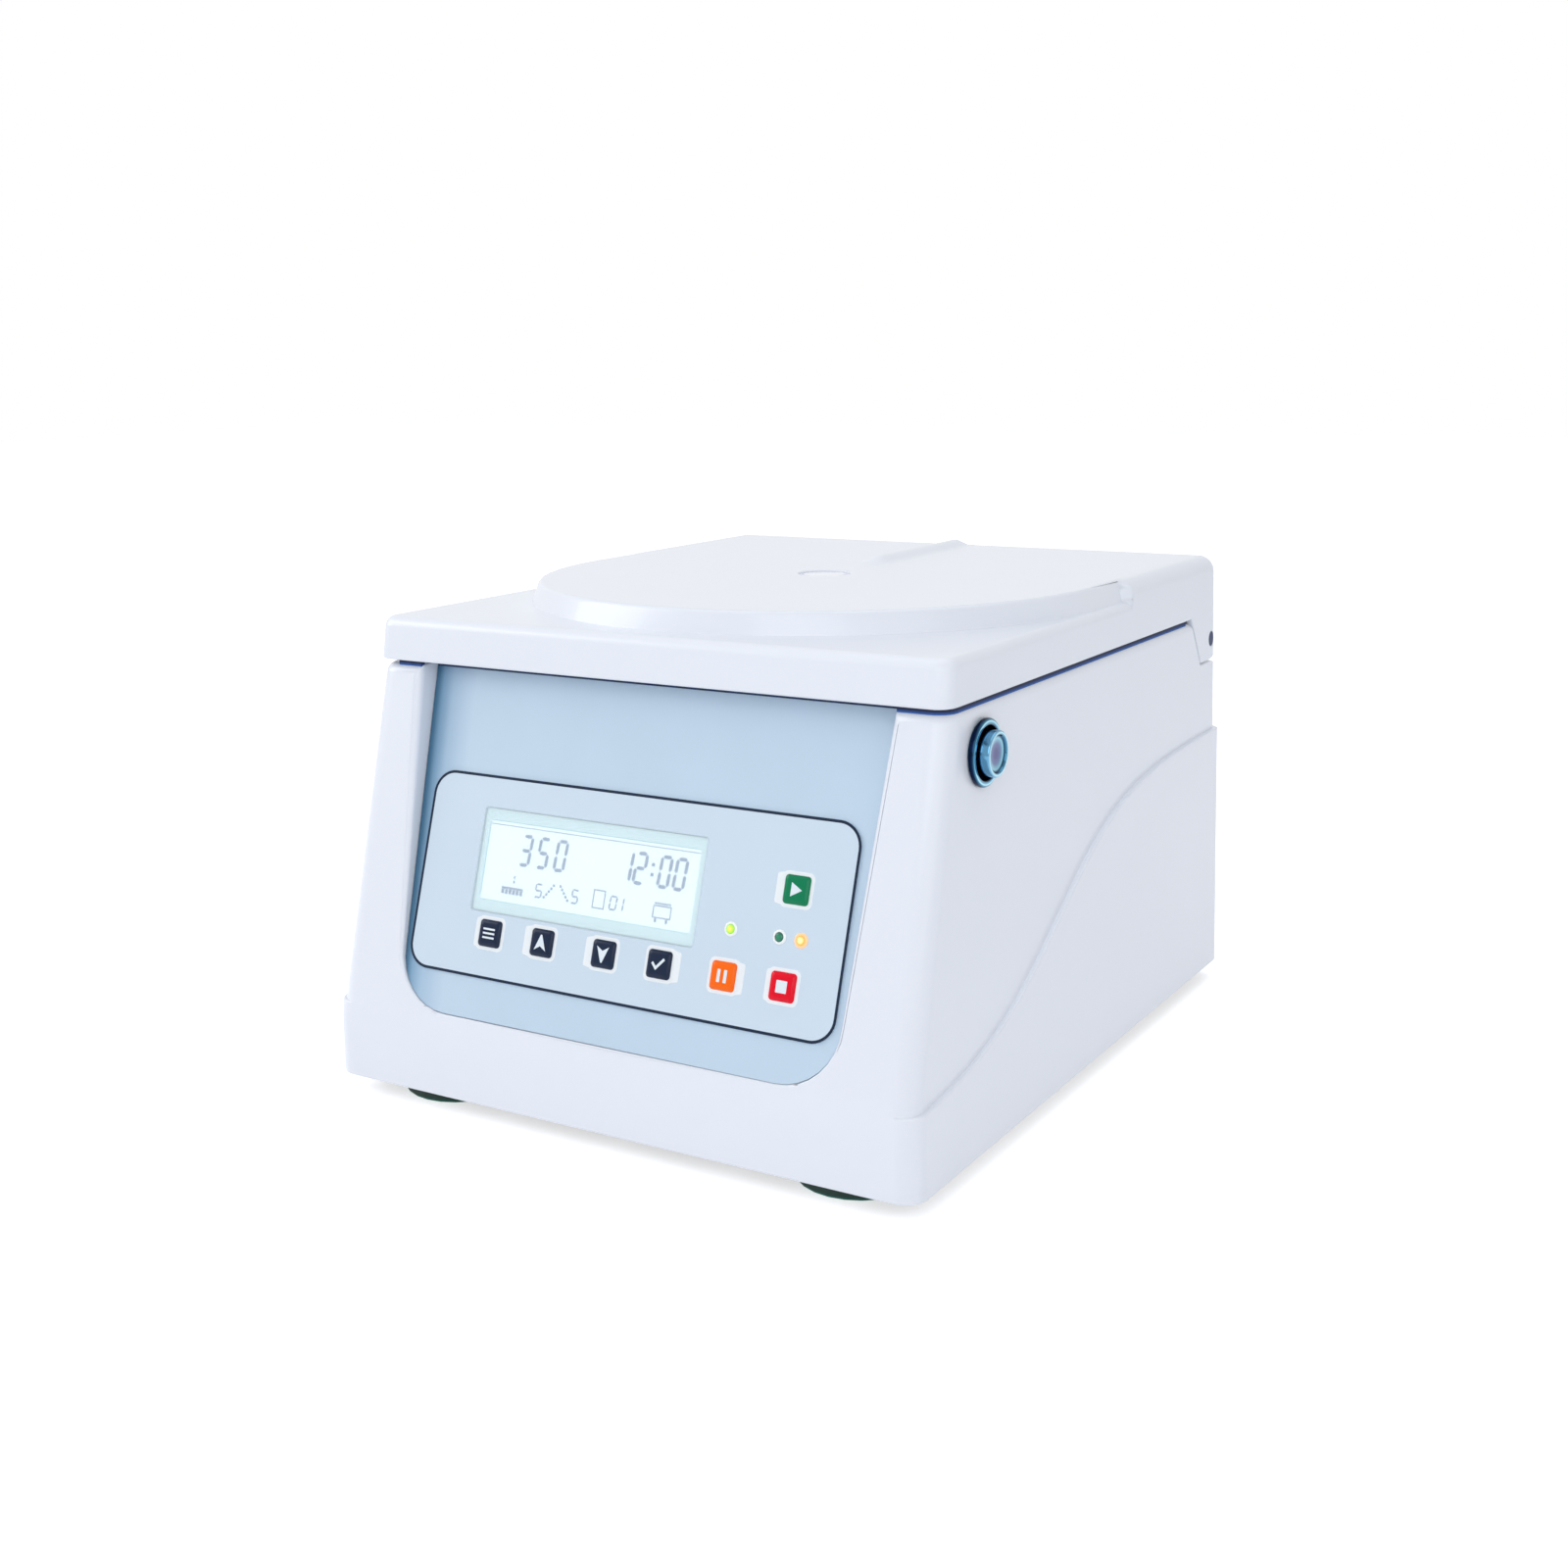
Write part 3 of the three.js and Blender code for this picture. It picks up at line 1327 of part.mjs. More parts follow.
function makeButton() {
  const tail = lockFace() - buttonTail;
  const stemEnd = catchRightFace() + seatGap;
  const collar = buttonRadius + lockBoreClearance - buttonCollarClearance;
  return turnedX([
    [0, stemEnd],
    [buttonStemRadius, stemEnd],
    [buttonStemRadius, tail],
    [collar, tail],
    [collar, tail + buttonCollarLength],
    [buttonRadius, tail + buttonCollarLength],
    [buttonRadius, buttonFaceX],
    [buttonRadius - buttonRimWidth, buttonFaceX],
    [buttonRadius - 2 * buttonRimWidth, buttonFaceX - buttonDishDepth],
    [0, buttonFaceX - buttonDishDepth],
  ]);
}

// The catch reaches under the striker, and its nose points back at the striker's window
function catchRightFace() {
  return strikerX + strikerThickness / 2 + lockTravel + 2 * catchClearance + catchWall;
}

function makeCatch() {
  const right = catchRightFace();
  const noseTip = strikerX - strikerThickness / 2 - catchClearance;
  const left = noseTip - catchNoseLength - catchWall;
  const half = catchWidth / 2;
  const low = lockY - half;
  const high = lockY + half;
  const floor = block([left, low, catchFoot], [right, high, catchFoot + catchFloorThickness]);
  const inner = block([left, low, catchFoot], [left + catchWall, high, catchTop]);
  const outer = block([right - catchWall, low, catchFoot], [right, high, catchTop]);
  const nose = block([left, low, catchTop - catchNoseHeight], [noseTip, high, catchTop]);
  return join(floor, inner, outer, nose);
}

// The machine: every piece hangs in one group that sets the part's origin under its middle
const machine = new THREE.Group();
machine.position.x = -protrusion / 2;

function add(parent, name, shape, material) {
  const body = shape instanceof THREE.BufferGeometry ? solid(shape) : shape;
  const mesh = new THREE.Mesh(geometryOf(body), material);
  mesh.name = name;
  parent.add(mesh);
  return mesh;
}

add(machine, 'case_shell', makeCase(), finishes.shell);
add(machine, 'base_pan', makeBasePan(), finishes.steelPan);
for (const [name, sideX, sideY] of [
  ['foot_front_left', -1, -1],
  ['foot_front_right', 1, -1],
  ['foot_rear_left', -1, 1],
  ['foot_rear_right', 1, 1],
]) {
  const foot = add(machine, name, makeFoot(), finishes.rubber);
  foot.position.x = sideX * (footprintWidth / 2 - footInsetX);
  foot.position.y = sideY * (footprintDepth / 2 - footInsetY);
}

const panel = new THREE.Group();
panel.applyMatrix4(panelMatrix);
machine.add(panel);
add(panel, 'fascia_panel', makeFascia(), finishes.fascia);
add(panel, 'keypad_overlay', makeOverlay(), finishes.overlay);
add(panel, 'display_window', makeDisplayWindow(), finishes.clear);
add(panel, 'display_module', makeDisplay(), finishes.display);
add(panel, 'control_board', makeControlBoard(), finishes.board);
for (const [name, share, up, colour] of keyShares) {
  add(panel, name, makeKey(), finishes[colour]).position.set(share * overlayWidth, up, 0);
}
for (const [name, share] of lampShares) {
  add(panel, name, makeLamp(), finishes.lamp).position.set(share * overlayWidth, lampRow, 0);
}

const core = new THREE.Group();
core.position.y = rotorY;
machine.add(core);
add(core, 'chamber_bowl', makeBowl(), finishes.stainless);
add(core, 'motor_housing', makeMotor(), finishes.motor);
add(core, 'motor_plate', makeMotorPlate(), finishes.steelPan);
add(core, 'upper_bearing', makeBearing(motorTop - bearingHeight), finishes.stainless);
add(core, 'lower_bearing', makeBearing(motorFoot), finishes.stainless);
add(core, 'shaft_boot', makeBoot(), finishes.rubber);
add(core, 'motor_shaft', makeShaft(), finishes.stainless);
add(core, 'rotor_plate', makeRotorPlate(), finishes.aluminium);
add(core, 'rotor_knob', makeKnob(), finishes.blackPlastic);
tubeMatrices().forEach((matrix, k) => {
  add(core, `tube_holder_${k + 1}`, makeTubeHolder(), finishes.blackPlastic).applyMatrix4(matrix);
});
add(core, 'lid_gasket', makeGasket(), finishes.rubber);
add(core, 'lid_lens', makeLens(), finishes.clear);
damperPlaces().forEach(([x, y], k) => {
  add(machine, `motor_damper_${k + 1}`, makeDamper(), finishes.rubber).position.set(x, y, 0);
});

add(machine, 'power_board', makePowerBoard(), finishes.board).position.set(
  -sideAt(panTop) + caseWall + powerBoardSideGap + powerBoardWidth / 2,
  rearAt(panTop) - rearWall - powerBoardRearGap - powerBoardDepth / 2,
  0,
);
add(machine, 'mains_inlet', makeInlet(), finishes.blackPlastic);
add(machine, 'switch_housing', makeRockerHousing(), finishes.blackPlastic);
add(machine, 'power_rocker', makeRocker(), finishes.blackPlastic);
add(machine, 'vent_plate', makeVent(), finishes.blackPlastic);

add(machine, 'lock_flange', makeLockFlange(), finishes.chrome);
add(machine, 'lock_nut', makeLockNut(), finishes.stainless);
add(machine, 'release_button', makeButton(), finishes.chrome);
add(machine, 'catch_bolt', makeCatch(), finishes.stainless);

add(machine, 'lid_shell', makeLidShell(), finishes.shell);
add(machine, 'lid_liner', makeLiner(), finishes.shell);
add(machine, 'lid_striker', makeStriker(), finishes.stainless);
for (const [side, direction] of [['left', -1], ['right', 1]]) {
  add(machine, `hinge_arm_${side}`, makeHingeArm(direction), finishes.steelPan);
  add(machine, `hinge_pin_${side}`, makeHingePin(direction), finishes.stainless);
}

export default machine;
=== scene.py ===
import math

import bmesh
import bpy
from mathutils import Matrix, Vector


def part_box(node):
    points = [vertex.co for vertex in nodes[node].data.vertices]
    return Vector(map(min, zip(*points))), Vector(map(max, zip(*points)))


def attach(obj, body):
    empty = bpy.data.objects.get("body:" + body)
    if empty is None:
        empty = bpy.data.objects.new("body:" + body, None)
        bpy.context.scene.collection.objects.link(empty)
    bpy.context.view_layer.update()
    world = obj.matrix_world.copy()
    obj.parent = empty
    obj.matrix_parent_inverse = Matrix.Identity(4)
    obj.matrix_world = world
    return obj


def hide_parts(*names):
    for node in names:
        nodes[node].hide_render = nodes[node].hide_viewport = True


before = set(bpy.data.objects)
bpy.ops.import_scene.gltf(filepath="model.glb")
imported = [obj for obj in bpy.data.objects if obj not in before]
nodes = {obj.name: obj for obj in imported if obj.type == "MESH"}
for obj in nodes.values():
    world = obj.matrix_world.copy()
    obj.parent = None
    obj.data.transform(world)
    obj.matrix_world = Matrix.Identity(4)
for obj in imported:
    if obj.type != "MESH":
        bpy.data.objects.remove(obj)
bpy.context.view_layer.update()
scene = bpy.context.scene
mm = 0.001

# Where the machine stands in the shared frame, and how its key panel lies
machine = {
    "shiftX": (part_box("case_shell")[0][0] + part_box("case_shell")[1][0]) / 2,
    "rotorY": 17 * mm,
    "lidTop": 227 * mm,
    "panelLean": math.radians(18.14),
    "panelFootY": -171.341 * mm,
    "panelFootZ": 65.4 * mm,
    "lockY": -113.2 * mm,
    "lockZ": 176.8 * mm,
}
leanSin, leanCos = math.sin(machine["panelLean"]), math.cos(machine["panelLean"])
panelFrame = Matrix(
    (
        (1, 0, 0, machine["shiftX"]),
        (0, leanSin, -leanCos, machine["panelFootY"]),
        (0, leanCos, leanSin, machine["panelFootZ"]),
        (0, 0, 0, 1),
    )
)
centreFrame = Matrix.Translation((machine["shiftX"], 0, 0))
rotorFrame = Matrix.Translation((machine["shiftX"], machine["rotorY"], 0))
lockPlace = Matrix.Translation((machine["shiftX"], machine["lockY"], machine["lockZ"]))
lockFrame = lockPlace @ Matrix.Rotation(math.pi / 2, 4, "Y")
atOrigin = Matrix.Identity(4)
# Sets what is drawn flat so that it faces the back
backTurn = Matrix(((-1, 0, 0, 0), (0, 0, 1, 0), (0, 1, 0, 0), (0, 0, 0, 1)))


# Colours are written as sRGB and turned into the linear values that Blender mixes with
def colour(code):
    values = [int(code[i : i + 2], 16) / 255 for i in (1, 3, 5)]
    linear = [v / 12.92 if v <= 0.04045 else ((v + 0.055) / 1.055) ** 2.4 for v in values]
    return (*linear, 1.0)


# A node with its settings and links; an input goes by its name, or by _ and its number
def addNode(tree, kind, settings=None, **links):
    node = tree.nodes.new(kind)

    def socket(key):
        number = key[1:]
        return node.inputs[int(number) if number.isdigit() else key]

    for key, value in (settings or {}).items():
        if hasattr(node, key) and key not in node.inputs:
            setattr(node, key, value)
        else:
            socket(key).default_value = value
    for key, source in links.items():
        tree.links.new(source, socket(key))
    return node


# Every finish has a faint cloud in its colour, a roughness that varies a little and a grain, in
# millimetres. A real moulding's grain is finer: this one is as coarse as it needs to show
surface = {"cloud": 35, "spread": 0.05, "grainDepth": 0.05, "coatRoughness": 0.08}


def finish(
    name, code, roughness, metallic=0.0, mottle=0.02, grain=0.0, grainSize=0.6, coat=0.0, **extra
):
    material = bpy.data.materials.new(name)
    material.use_nodes = True
    tree = material.node_tree
    shader = tree.nodes["Principled BSDF"]
    base = colour(code)
    shader.inputs["Base Color"].default_value = base
    place = addNode(tree, "ShaderNodeTexCoord").outputs["Object"]
    if mottle:
        cloudLook = {"Scale": 1 / (surface["cloud"] * mm), "Detail": 3.0}
        cloud = addNode(tree, "ShaderNodeTexNoise", cloudLook, Vector=place)
        deep, pale = ([min(1, v * share) for v in base[:3]] for share in (1 - mottle, 1 + mottle))
        shades = {"data_type": "RGBA", "_6": (*deep, 1), "_7": (*pale, 1)}
        mix = addNode(tree, "ShaderNodeMix", shades, Factor=cloud.outputs["Fac"])
        tree.links.new(mix.outputs[2], shader.inputs["Base Color"])
    fineLook = {"Scale": 1 / (grainSize * mm), "Detail": 4.0}
    fine = addNode(tree, "ShaderNodeTexNoise", fineLook, Vector=place)
    limits = {
        "To Min": max(0.0, roughness - surface["spread"]),
        "To Max": min(1.0, roughness + surface["spread"]),
    }
    spread = addNode(tree, "ShaderNodeMapRange", limits, Value=fine.outputs["Fac"])
    tree.links.new(spread.outputs[0], shader.inputs["Roughness"])
    if grain:
        depth = {"Strength": grain, "Distance": surface["grainDepth"] * mm}
        bump = addNode(tree, "ShaderNodeBump", depth, Height=fine.outputs["Fac"])
        tree.links.new(bump.outputs[0], shader.inputs["Normal"])
    coating = {"Coat Weight": coat, "Coat Roughness": surface["coatRoughness"]}
    for key, value in {"Metallic": metallic, **coating, **extra}.items():
        shader.inputs[key].default_value = value
    return material


# Turned metal: fine rings about the rotor's axis
turning = {"mottle": 0.03, "waver": 1.5, "strength": 0.12, "depth": 0.02}


def turnedFinish(name, code, roughness, ringSize):
    material = finish(name, code, roughness, metallic=1.0, mottle=turning["mottle"])
    tree = material.node_tree
    place = addNode(tree, "ShaderNodeTexCoord").outputs["Object"]
    axis = {"Location": (-machine["shiftX"], -machine["rotorY"], 0)}
    centred = addNode(tree, "ShaderNodeMapping", axis, Vector=place)
    waves = {
        "wave_type": "RINGS",
        "rings_direction": "Z",
        "Scale": 1 / (ringSize * mm),
        "Distortion": turning["waver"],
        "Detail": 2.0,
    }
    rings = addNode(tree, "ShaderNodeTexWave", waves, Vector=centred.outputs[0])
    depth = {"Strength": turning["strength"], "Distance": turning["depth"] * mm}
    bump = addNode(tree, "ShaderNodeBump", depth, Height=rings.outputs["Fac"])
    tree.links.new(bump.outputs[0], tree.nodes["Principled BSDF"].inputs["Normal"])
    return material


def glowing(name, code, strength, roughness=0.3):
    light = {"Emission Color": colour(code), "Emission Strength": strength}
    return finish(name, code, roughness, mottle=0.0, **light)


# Tints a finish by distance: each stop is a distance in millimetres and a colour
def tinted(material, distance, stops):
    tree = material.node_tree
    shader = tree.nodes["Principled BSDF"]
    nearest, furthest = stops[0][0], stops[-1][0]
    reach = {"From Min": nearest * mm, "From Max": furthest * mm}
    share = addNode(tree, "ShaderNodeMapRange", reach, Value=distance(tree))
    ramp = addNode(tree, "ShaderNodeValToRGB", Fac=share.outputs[0])
    for i, (at, code) in enumerate(stops):
        where = (at - nearest) / (furthest - nearest)
        elements = ramp.color_ramp.elements
        stop = elements[i] if i in (0, 1) else elements.new(where)
        stop.position = where
        stop.color = colour(code)
    base = shader.inputs["Base Color"]
    tint = {"data_type": "RGBA", "blend_type": "MULTIPLY", "_0": 1.0, "_6": base.default_value}
    mix = addNode(tree, "ShaderNodeMix", tint, _7=ramp.outputs["Color"])
    for link in base.links:
        tree.links.new(link.from_socket, mix.inputs[6])
    tree.links.new(mix.outputs[2], base)
    if shader.inputs["Emission Strength"].default_value:
        tree.links.new(mix.outputs[2], shader.inputs["Emission Color"])
    return material


# A distance worked out from a point's place by vector steps: each an operation and its operand
def measured(*steps):
    def build(tree):
        place = addNode(tree, "ShaderNodeTexCoord").outputs["Object"]
        for operation, operand in steps:
            step = {"operation": operation, "_1": operand}
            node = addNode(tree, "ShaderNodeVectorMath", step, _0=place)
            place = node.outputs[0]
        return node.outputs["Value"]

    return build


# The distance along a direction, from an origin in millimetres
def along(direction, origin):
    start = Vector(origin) * mm + Vector((machine["shiftX"], 0, 0))
    return measured(("SUBTRACT", start), ("DOT_PRODUCT", direction))


# The distance from a place, or from an axis along X when flat
def awayFrom(centre, flat=False):
    kept = (0 if flat else 1, 1, 1)
    return measured(("SUBTRACT", centre), ("MULTIPLY", kept), ("DISTANCE", (0, 0, 0)))


# Finishes, each named for the real one. Case and lid are moulded ABS, a satin white whose fine
# grain softens every reflection
shellWhite = finish(
    "shellWhite", "#e5e9f1", 0.34, mottle=0.008, grain=0.12, grainSize=0.9, coat=0.25
)

# Control panel: painted sheet metal, satin and faintly cloudy, with printed polyester film on it,
# whose fine texture lies under a soft sheen, flat ink, and a polished clear cover for the screen
panelBlue = finish("panelBlue", "#bfd3e4", 0.42, mottle=0.03, grain=0.08)
overlayFilm = finish("overlayFilm", "#cbdbe9", 0.36, grain=0.15, grainSize=0.3, coat=0.2)
outlineInk = finish("outlineInk", "#12233a", 0.5, **{"Specular IOR Level": 0.2})
windowClear = finish("windowClear", "#e6f4f7", 0.12, mottle=0.0, Alpha=0.3, IOR=1.45)
moduleFrame = glowing("moduleFrame", "#dff2f6", 0.12, 0.4)  # painted glow: backlit pale plastic
screenGlow = glowing("screenGlow", "#e6eef4", 0.5)  # backlit liquid crystal
glassEdgeTint = finish("glassEdgeTint", "#8fd0d2", 0.2, mottle=0.0)  # light in the glass's edge
segmentInk = finish("segmentInk", "#5d6da0", 0.6, mottle=0.0)  # liquid crystal, soft and flat
shadeLineNavy = finish("shadeLineNavy", "#1b2f52", 0.7)  # painted shade at the panel's top edge
# Keys: smooth moulded ABS with so weak a shine that its colour stays deep
keyCap = {"roughness": 0.24, "coat": 0.06, "Specular IOR Level": 0.16}
keyDark = finish("keyDark", "#15243e", mottle=0.1, **keyCap)
keyOrange = finish("keyOrange", "#ff6a08", mottle=0.04, **keyCap)
keyRed = finish("keyRed", "#e60024", mottle=0.05, **keyCap)
keyGreen = finish("keyGreen", "#007a50", mottle=0.05, **keyCap)
keySymbol = finish("keySymbol", "#dfe9f0", 0.5, mottle=0.0)  # printed sign, pale and flat
# Clear polycarbonate round keys and lamps; round the keys it is nearly white all over, a painted
# highlight for the light that the raised film catches
keyRimHighlight = finish("keyRimHighlight", "#f6fbfe", 0.3, mottle=0.0, coat=0.3, Alpha=0.9)
lampBezel = finish("lampBezel", "#f2f7f6", 0.2, mottle=0.0, coat=0.5)
lampSpillGlow = glowing("lampSpillGlow", "#ffc08a", 0.35)  # painted glow of the lit lamp on its ring

# Shade on the panel beside the recess's left wall, which leans outwards as it rises
leftWall = {"run": 7.5, "rise": 121, "x": -113.0, "z": 75.0}
wallLean = math.atan2(leftWall["run"], leftWall["rise"])
tinted(
    panelBlue,
    along((math.cos(wallLean), 0, math.sin(wallLean)), (leftWall["x"], 0, leftWall["z"])),
    [(0, "#3f6c82"), (2.2, "#5d8ba3"), (5, "#a7c4d6"), (11, "#dce8f1"), (24, "#ffffff")],
)

# Polished chrome with painted reflections: rings of dark navy and light teal, by distance from
# the lock's axis, stand for the dark blue of a shaded room reflected in it
lockAxis = awayFrom((0, machine["lockY"], machine["lockZ"]), flat=True)
chromeRing = tinted(
    finish("chromeRing", "#ffffff", 0.12, metallic=1.0),
    lockAxis,
    [(10.6, "#0b1530"), (11.4, "#1c3552"), (12.1, "#5d94ae"), (12.8, "#a4d2e0")]
    + [(13.3, "#3d7592"), (13.9, "#101f3c")],
)
chromeButton = tinted(
    finish("chromeButton", "#ffffff", 0.1, metallic=1.0),
    lockAxis,
    [(1.5, "#4d5078"), (4.2, "#5c6a8e"), (6.4, "#7fb2c2"), (7.2, "#1d3350")]
    + [(7.7, "#3f7390"), (8.6, "#a8d2de"), (9.4, "#5f93b4")],
)

# Rubbers, all matt. The strip along the case's rim carries painted shade for the gap under the lid:
# it deepens from blue at its foot to near black towards the lid
upwards = (0, 0, 1)
rimLine = (0, 0, 195.0)
rubberGapShade = tinted(
    finish("rubberGapShade", "#ffffff", 0.75, mottle=0.05),
    along(upwards, rimLine),
    [(0.2, "#3f76c6"), (1.2, "#1a3872"), (2.0, "#081430"), (3, "#050c20")],
)
rubberBlack = finish("rubberBlack", "#1d2523", 0.8, mottle=0.1, grain=0.5, grainSize=0.5)
# The feet are green-black, with a painted teal highlight at their edge near the floor
footRubber = tinted(
    finish("footRubber", "#ffffff", 0.72, mottle=0.12, grain=0.4, grainSize=0.5),
    along(upwards, (0, 0, 0)),
    [(0.3, "#1d8070"), (1.5, "#17352c"), (9, "#132a24")],
)

# Metals, black plastic, paint and circuit board. Spun and turned metal draws its highlights out
# along fine rings, plain steel is evenly satin, and zinc-plated sheet is duller and cloudy
steelBrushed = turnedFinish("steelBrushed", "#c6cacd", 0.28, 0.8)  # spun stainless bowl
aluminiumTurned = turnedFinish("aluminiumTurned", "#b4b8bd", 0.33, 0.6)
steelPlain = finish("steelPlain", "#b9bdc1", 0.35, metallic=1.0, grain=0.2, grainSize=0.4)
zincSheet = finish("zincSheet", "#bcc1c8", 0.5, metallic=0.7, mottle=0.08, grain=0.15)
brass = finish("brass", "#c9a552", 0.25, metallic=1.0)
blackPlastic = finish("blackPlastic", "#1d2024", 0.46, mottle=0.06, grain=0.35, grainSize=0.4)
hingePinShade = finish("hingePinShade", "#26345a", 0.6)  # painted shade for the gap round the hinge pin
motorPaint = finish("motorPaint", "#5d636b", 0.5, metallic=0.4, mottle=0.06, grain=0.2)
boardGreen = finish("boardGreen", "#1c6b43", 0.45, mottle=0.08, grain=0.1, coat=0.3)
print("finishes ready")


# Mesh helpers: every finished piece sits at the origin with its place in its mesh
def piece(name, mesh, body, material, replaced=(), smoothBelow=38):
    mesh.name = name
    obj = bpy.data.objects.new(name, mesh)
    scene.collection.objects.link(obj)
    mesh.materials.clear()
    mesh.materials.append(material)
    if smoothBelow:
        smooth(mesh, smoothBelow)
    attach(obj, body)
    if replaced:
        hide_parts(*replaced)


def smooth(mesh, angle):
    form = bmesh.new()
    form.from_mesh(mesh)
    for face in form.faces:
        face.smooth = True
    for edge in form.edges:
        edge.smooth = edge.is_manifold and edge.calc_face_angle(math.pi) < math.radians(angle)
    form.to_mesh(mesh)
    form.free()


def meshOf(points, faces, place, welded=True):
    mesh = bpy.data.meshes.new("form")
    mesh.from_pydata([place @ Vector(p) for p in points], [], faces)
    if welded:
        form = bmesh.new()
        form.from_mesh(mesh)
        bmesh.ops.remove_doubles(form, verts=form.verts, dist=1e-6)
        bmesh.ops.recalc_face_normals(form, faces=form.faces)
        form.to_mesh(mesh)
        form.free()
    return mesh


# A turned form from (radius, height) pairs in millimetres
def turned(profile, place, steps=96):
    points, faces = [], []
    for radius, height in profile:
        for k in range(steps):
            a = 2 * math.pi * k / steps
            points.append((radius * mm * math.cos(a), radius * mm * math.sin(a), height * mm))
    for row in range(len(profile) - 1):
        for k in range(steps):
            a, b = row * steps + k, row * steps + (k + 1) % steps
            faces.append((a, b, b + steps, a + steps))
    return meshOf(points, faces, place)


# Rounds a turned profile's corners: a corner is (radius, height), with its rounding if it has one
def rounded(profile, steps=4):
    result = []
    for i, (radius, height, *rounding) in enumerate(profile):
        if not rounding:
            result.append((radius, height))
            continue
        here = Vector((radius, height))
        a = (Vector(profile[i - 1][:2]) - here).normalized()
        b = (Vector(profile[i + 1][:2]) - here).normalized()
        reach = rounding[0] / math.tan(max(0.05, a.angle(b) / 2))
        start, end = here + a * reach, here + b * reach
        for k in range(steps + 1):
            t = k / steps
            result.append(tuple(start * (1 - t) ** 2 + here * 2 * t * (1 - t) + end * t * t))
    return result


# Flat outlines in millimetres made into plates between two heights
def plateMesh(outlines, low, high, place):
    points, faces = [], []
    for outline in outlines:
        start, count = len(points), len(outline)
        points += [(x * mm, y * mm, low * mm) for x, y in outline]
        points += [(x * mm, y * mm, high * mm) for x, y in outline]
        faces.append([start + k for k in reversed(range(count))])
        faces.append([start + count + k for k in range(count)])
        for k in range(count):
            n = (k + 1) % count
            faces.append((start + k, start + n, start + count + n, start + count + k))
    return meshOf(points, faces, place)


def roundedSquare(halfX, halfY, radius, x=0.0, y=0.0, steps=6):
    outline = []
    for quarterTurn, (cx, cy) in enumerate(((1, 1), (-1, 1), (-1, -1), (1, -1))):
        middleX, middleY = x + cx * (halfX - radius), y + cy * (halfY - radius)
        for k in range(steps + 1):
            a = math.pi / 2 * (quarterTurn + k / steps)
            outline.append((middleX + radius * math.cos(a), middleY + radius * math.sin(a)))
    return outline


# Stacked outlines of equal length, with flat ends or closed into a ring
def lofted(sections, place, closed=False):
    points, faces = [], []
    rows, count = len(sections), len(sections[0][0])
    for outline, height in sections:
        points += [(x * mm, y * mm, height * mm) for x, y in outline]
    for row in range(rows if closed else rows - 1):
        after = (row + 1) % rows
        for k in range(count):
            n = (k + 1) % count
            here, there = row * count, after * count
            faces.append((here + k, here + n, there + n, there + k))
    if not closed:
        faces.append(list(reversed(range(count))))
        faces.append([(rows - 1) * count + k for k in range(count)])
    return meshOf(points, faces, place)


def ringMesh(outer, inner, low, high, place):
    return lofted([(outer, low), (outer, high), (inner, high), (inner, low)], place, closed=True)


def evaluated(obj):
    bpy.context.view_layer.update()
    settled = obj.evaluated_get(bpy.context.evaluated_depsgraph_get())
    return bpy.data.meshes.new_from_object(settled)


# How a CAD solid is cleaned before its edges are broken: lengths in metres, angles in degrees
cleaning = {"weld": 2e-6, "flat": 0.6, "sliver": 5e-6, "smoothBelow": 38}


# A CAD solid with its edges broken: flat parts are merged, then each sharp edge gets its own round
def dressed(
    name, node, body, material, width=0.5, widthAt=None, sharp=36, segments=3, edit=None
):
    form = bmesh.new()
    form.from_mesh(nodes[node].data)
    bmesh.ops.remove_doubles(form, verts=form.verts, dist=cleaning["weld"])
    if edit:
        edit(form)
    flat = math.radians(cleaning["flat"])
    bmesh.ops.dissolve_limit(form, angle_limit=flat, verts=form.verts, edges=form.edges)
    bmesh.ops.dissolve_degenerate(form, edges=form.edges, dist=cleaning["sliver"])
    weights = form.edges.layers.float.new("bevel_weight_edge")
    widest = width
    picked = []
    for edge in form.edges:
        convex = edge.is_manifold and edge.is_convex
        if convex and edge.calc_face_angle(0) > math.radians(sharp):
            middle = (edge.verts[0].co + edge.verts[1].co) / 2
            wanted = widthAt(middle) if widthAt else width
            picked.append((edge, wanted))
            widest = max(widest, wanted)
    for edge, wanted in picked:
        edge[weights] = wanted / widest
    mesh = bpy.data.meshes.new(name)
    form.to_mesh(mesh)
    form.free()
    obj = bpy.data.objects.new(name, mesh)
    scene.collection.objects.link(obj)
    bevel = obj.modifiers.new("edges", "BEVEL")
    bevel.limit_method = "WEIGHT"
    bevel.width = widest * mm
    bevel.segments = segments
    bevel.use_clamp_overlap = False
    bevel.miter_outer = "MITER_ARC"
    rounder = evaluated(obj)
    smooth(rounder, cleaning["smoothBelow"])
    obj.data = rounder
    obj.modifiers.clear()
    weigher = obj.modifiers.new("normals", "WEIGHTED_NORMAL")
    weigher.keep_sharp = True
    weigher.weight = 100
    result = evaluated(obj)
    bpy.data.objects.remove(obj)
    piece(name, result, body, material, [node], smoothBelow=0)


# Case and lid: how wide their edges are rounded
shellEdges = {"outside": 0.8, "backPanel": 0.35, "backFrom": 168, "lid": 1.1, "ear": 0.35}
hinge = {"y": 164.0, "z": 184.5, "clear": 6.0, "earTop": 197.0, "earFrom": 120}


def caseEdge(point):
    onBack = point.y > shellEdges["backFrom"] * mm
    return shellEdges["backPanel"] if onBack else shellEdges["outside"]


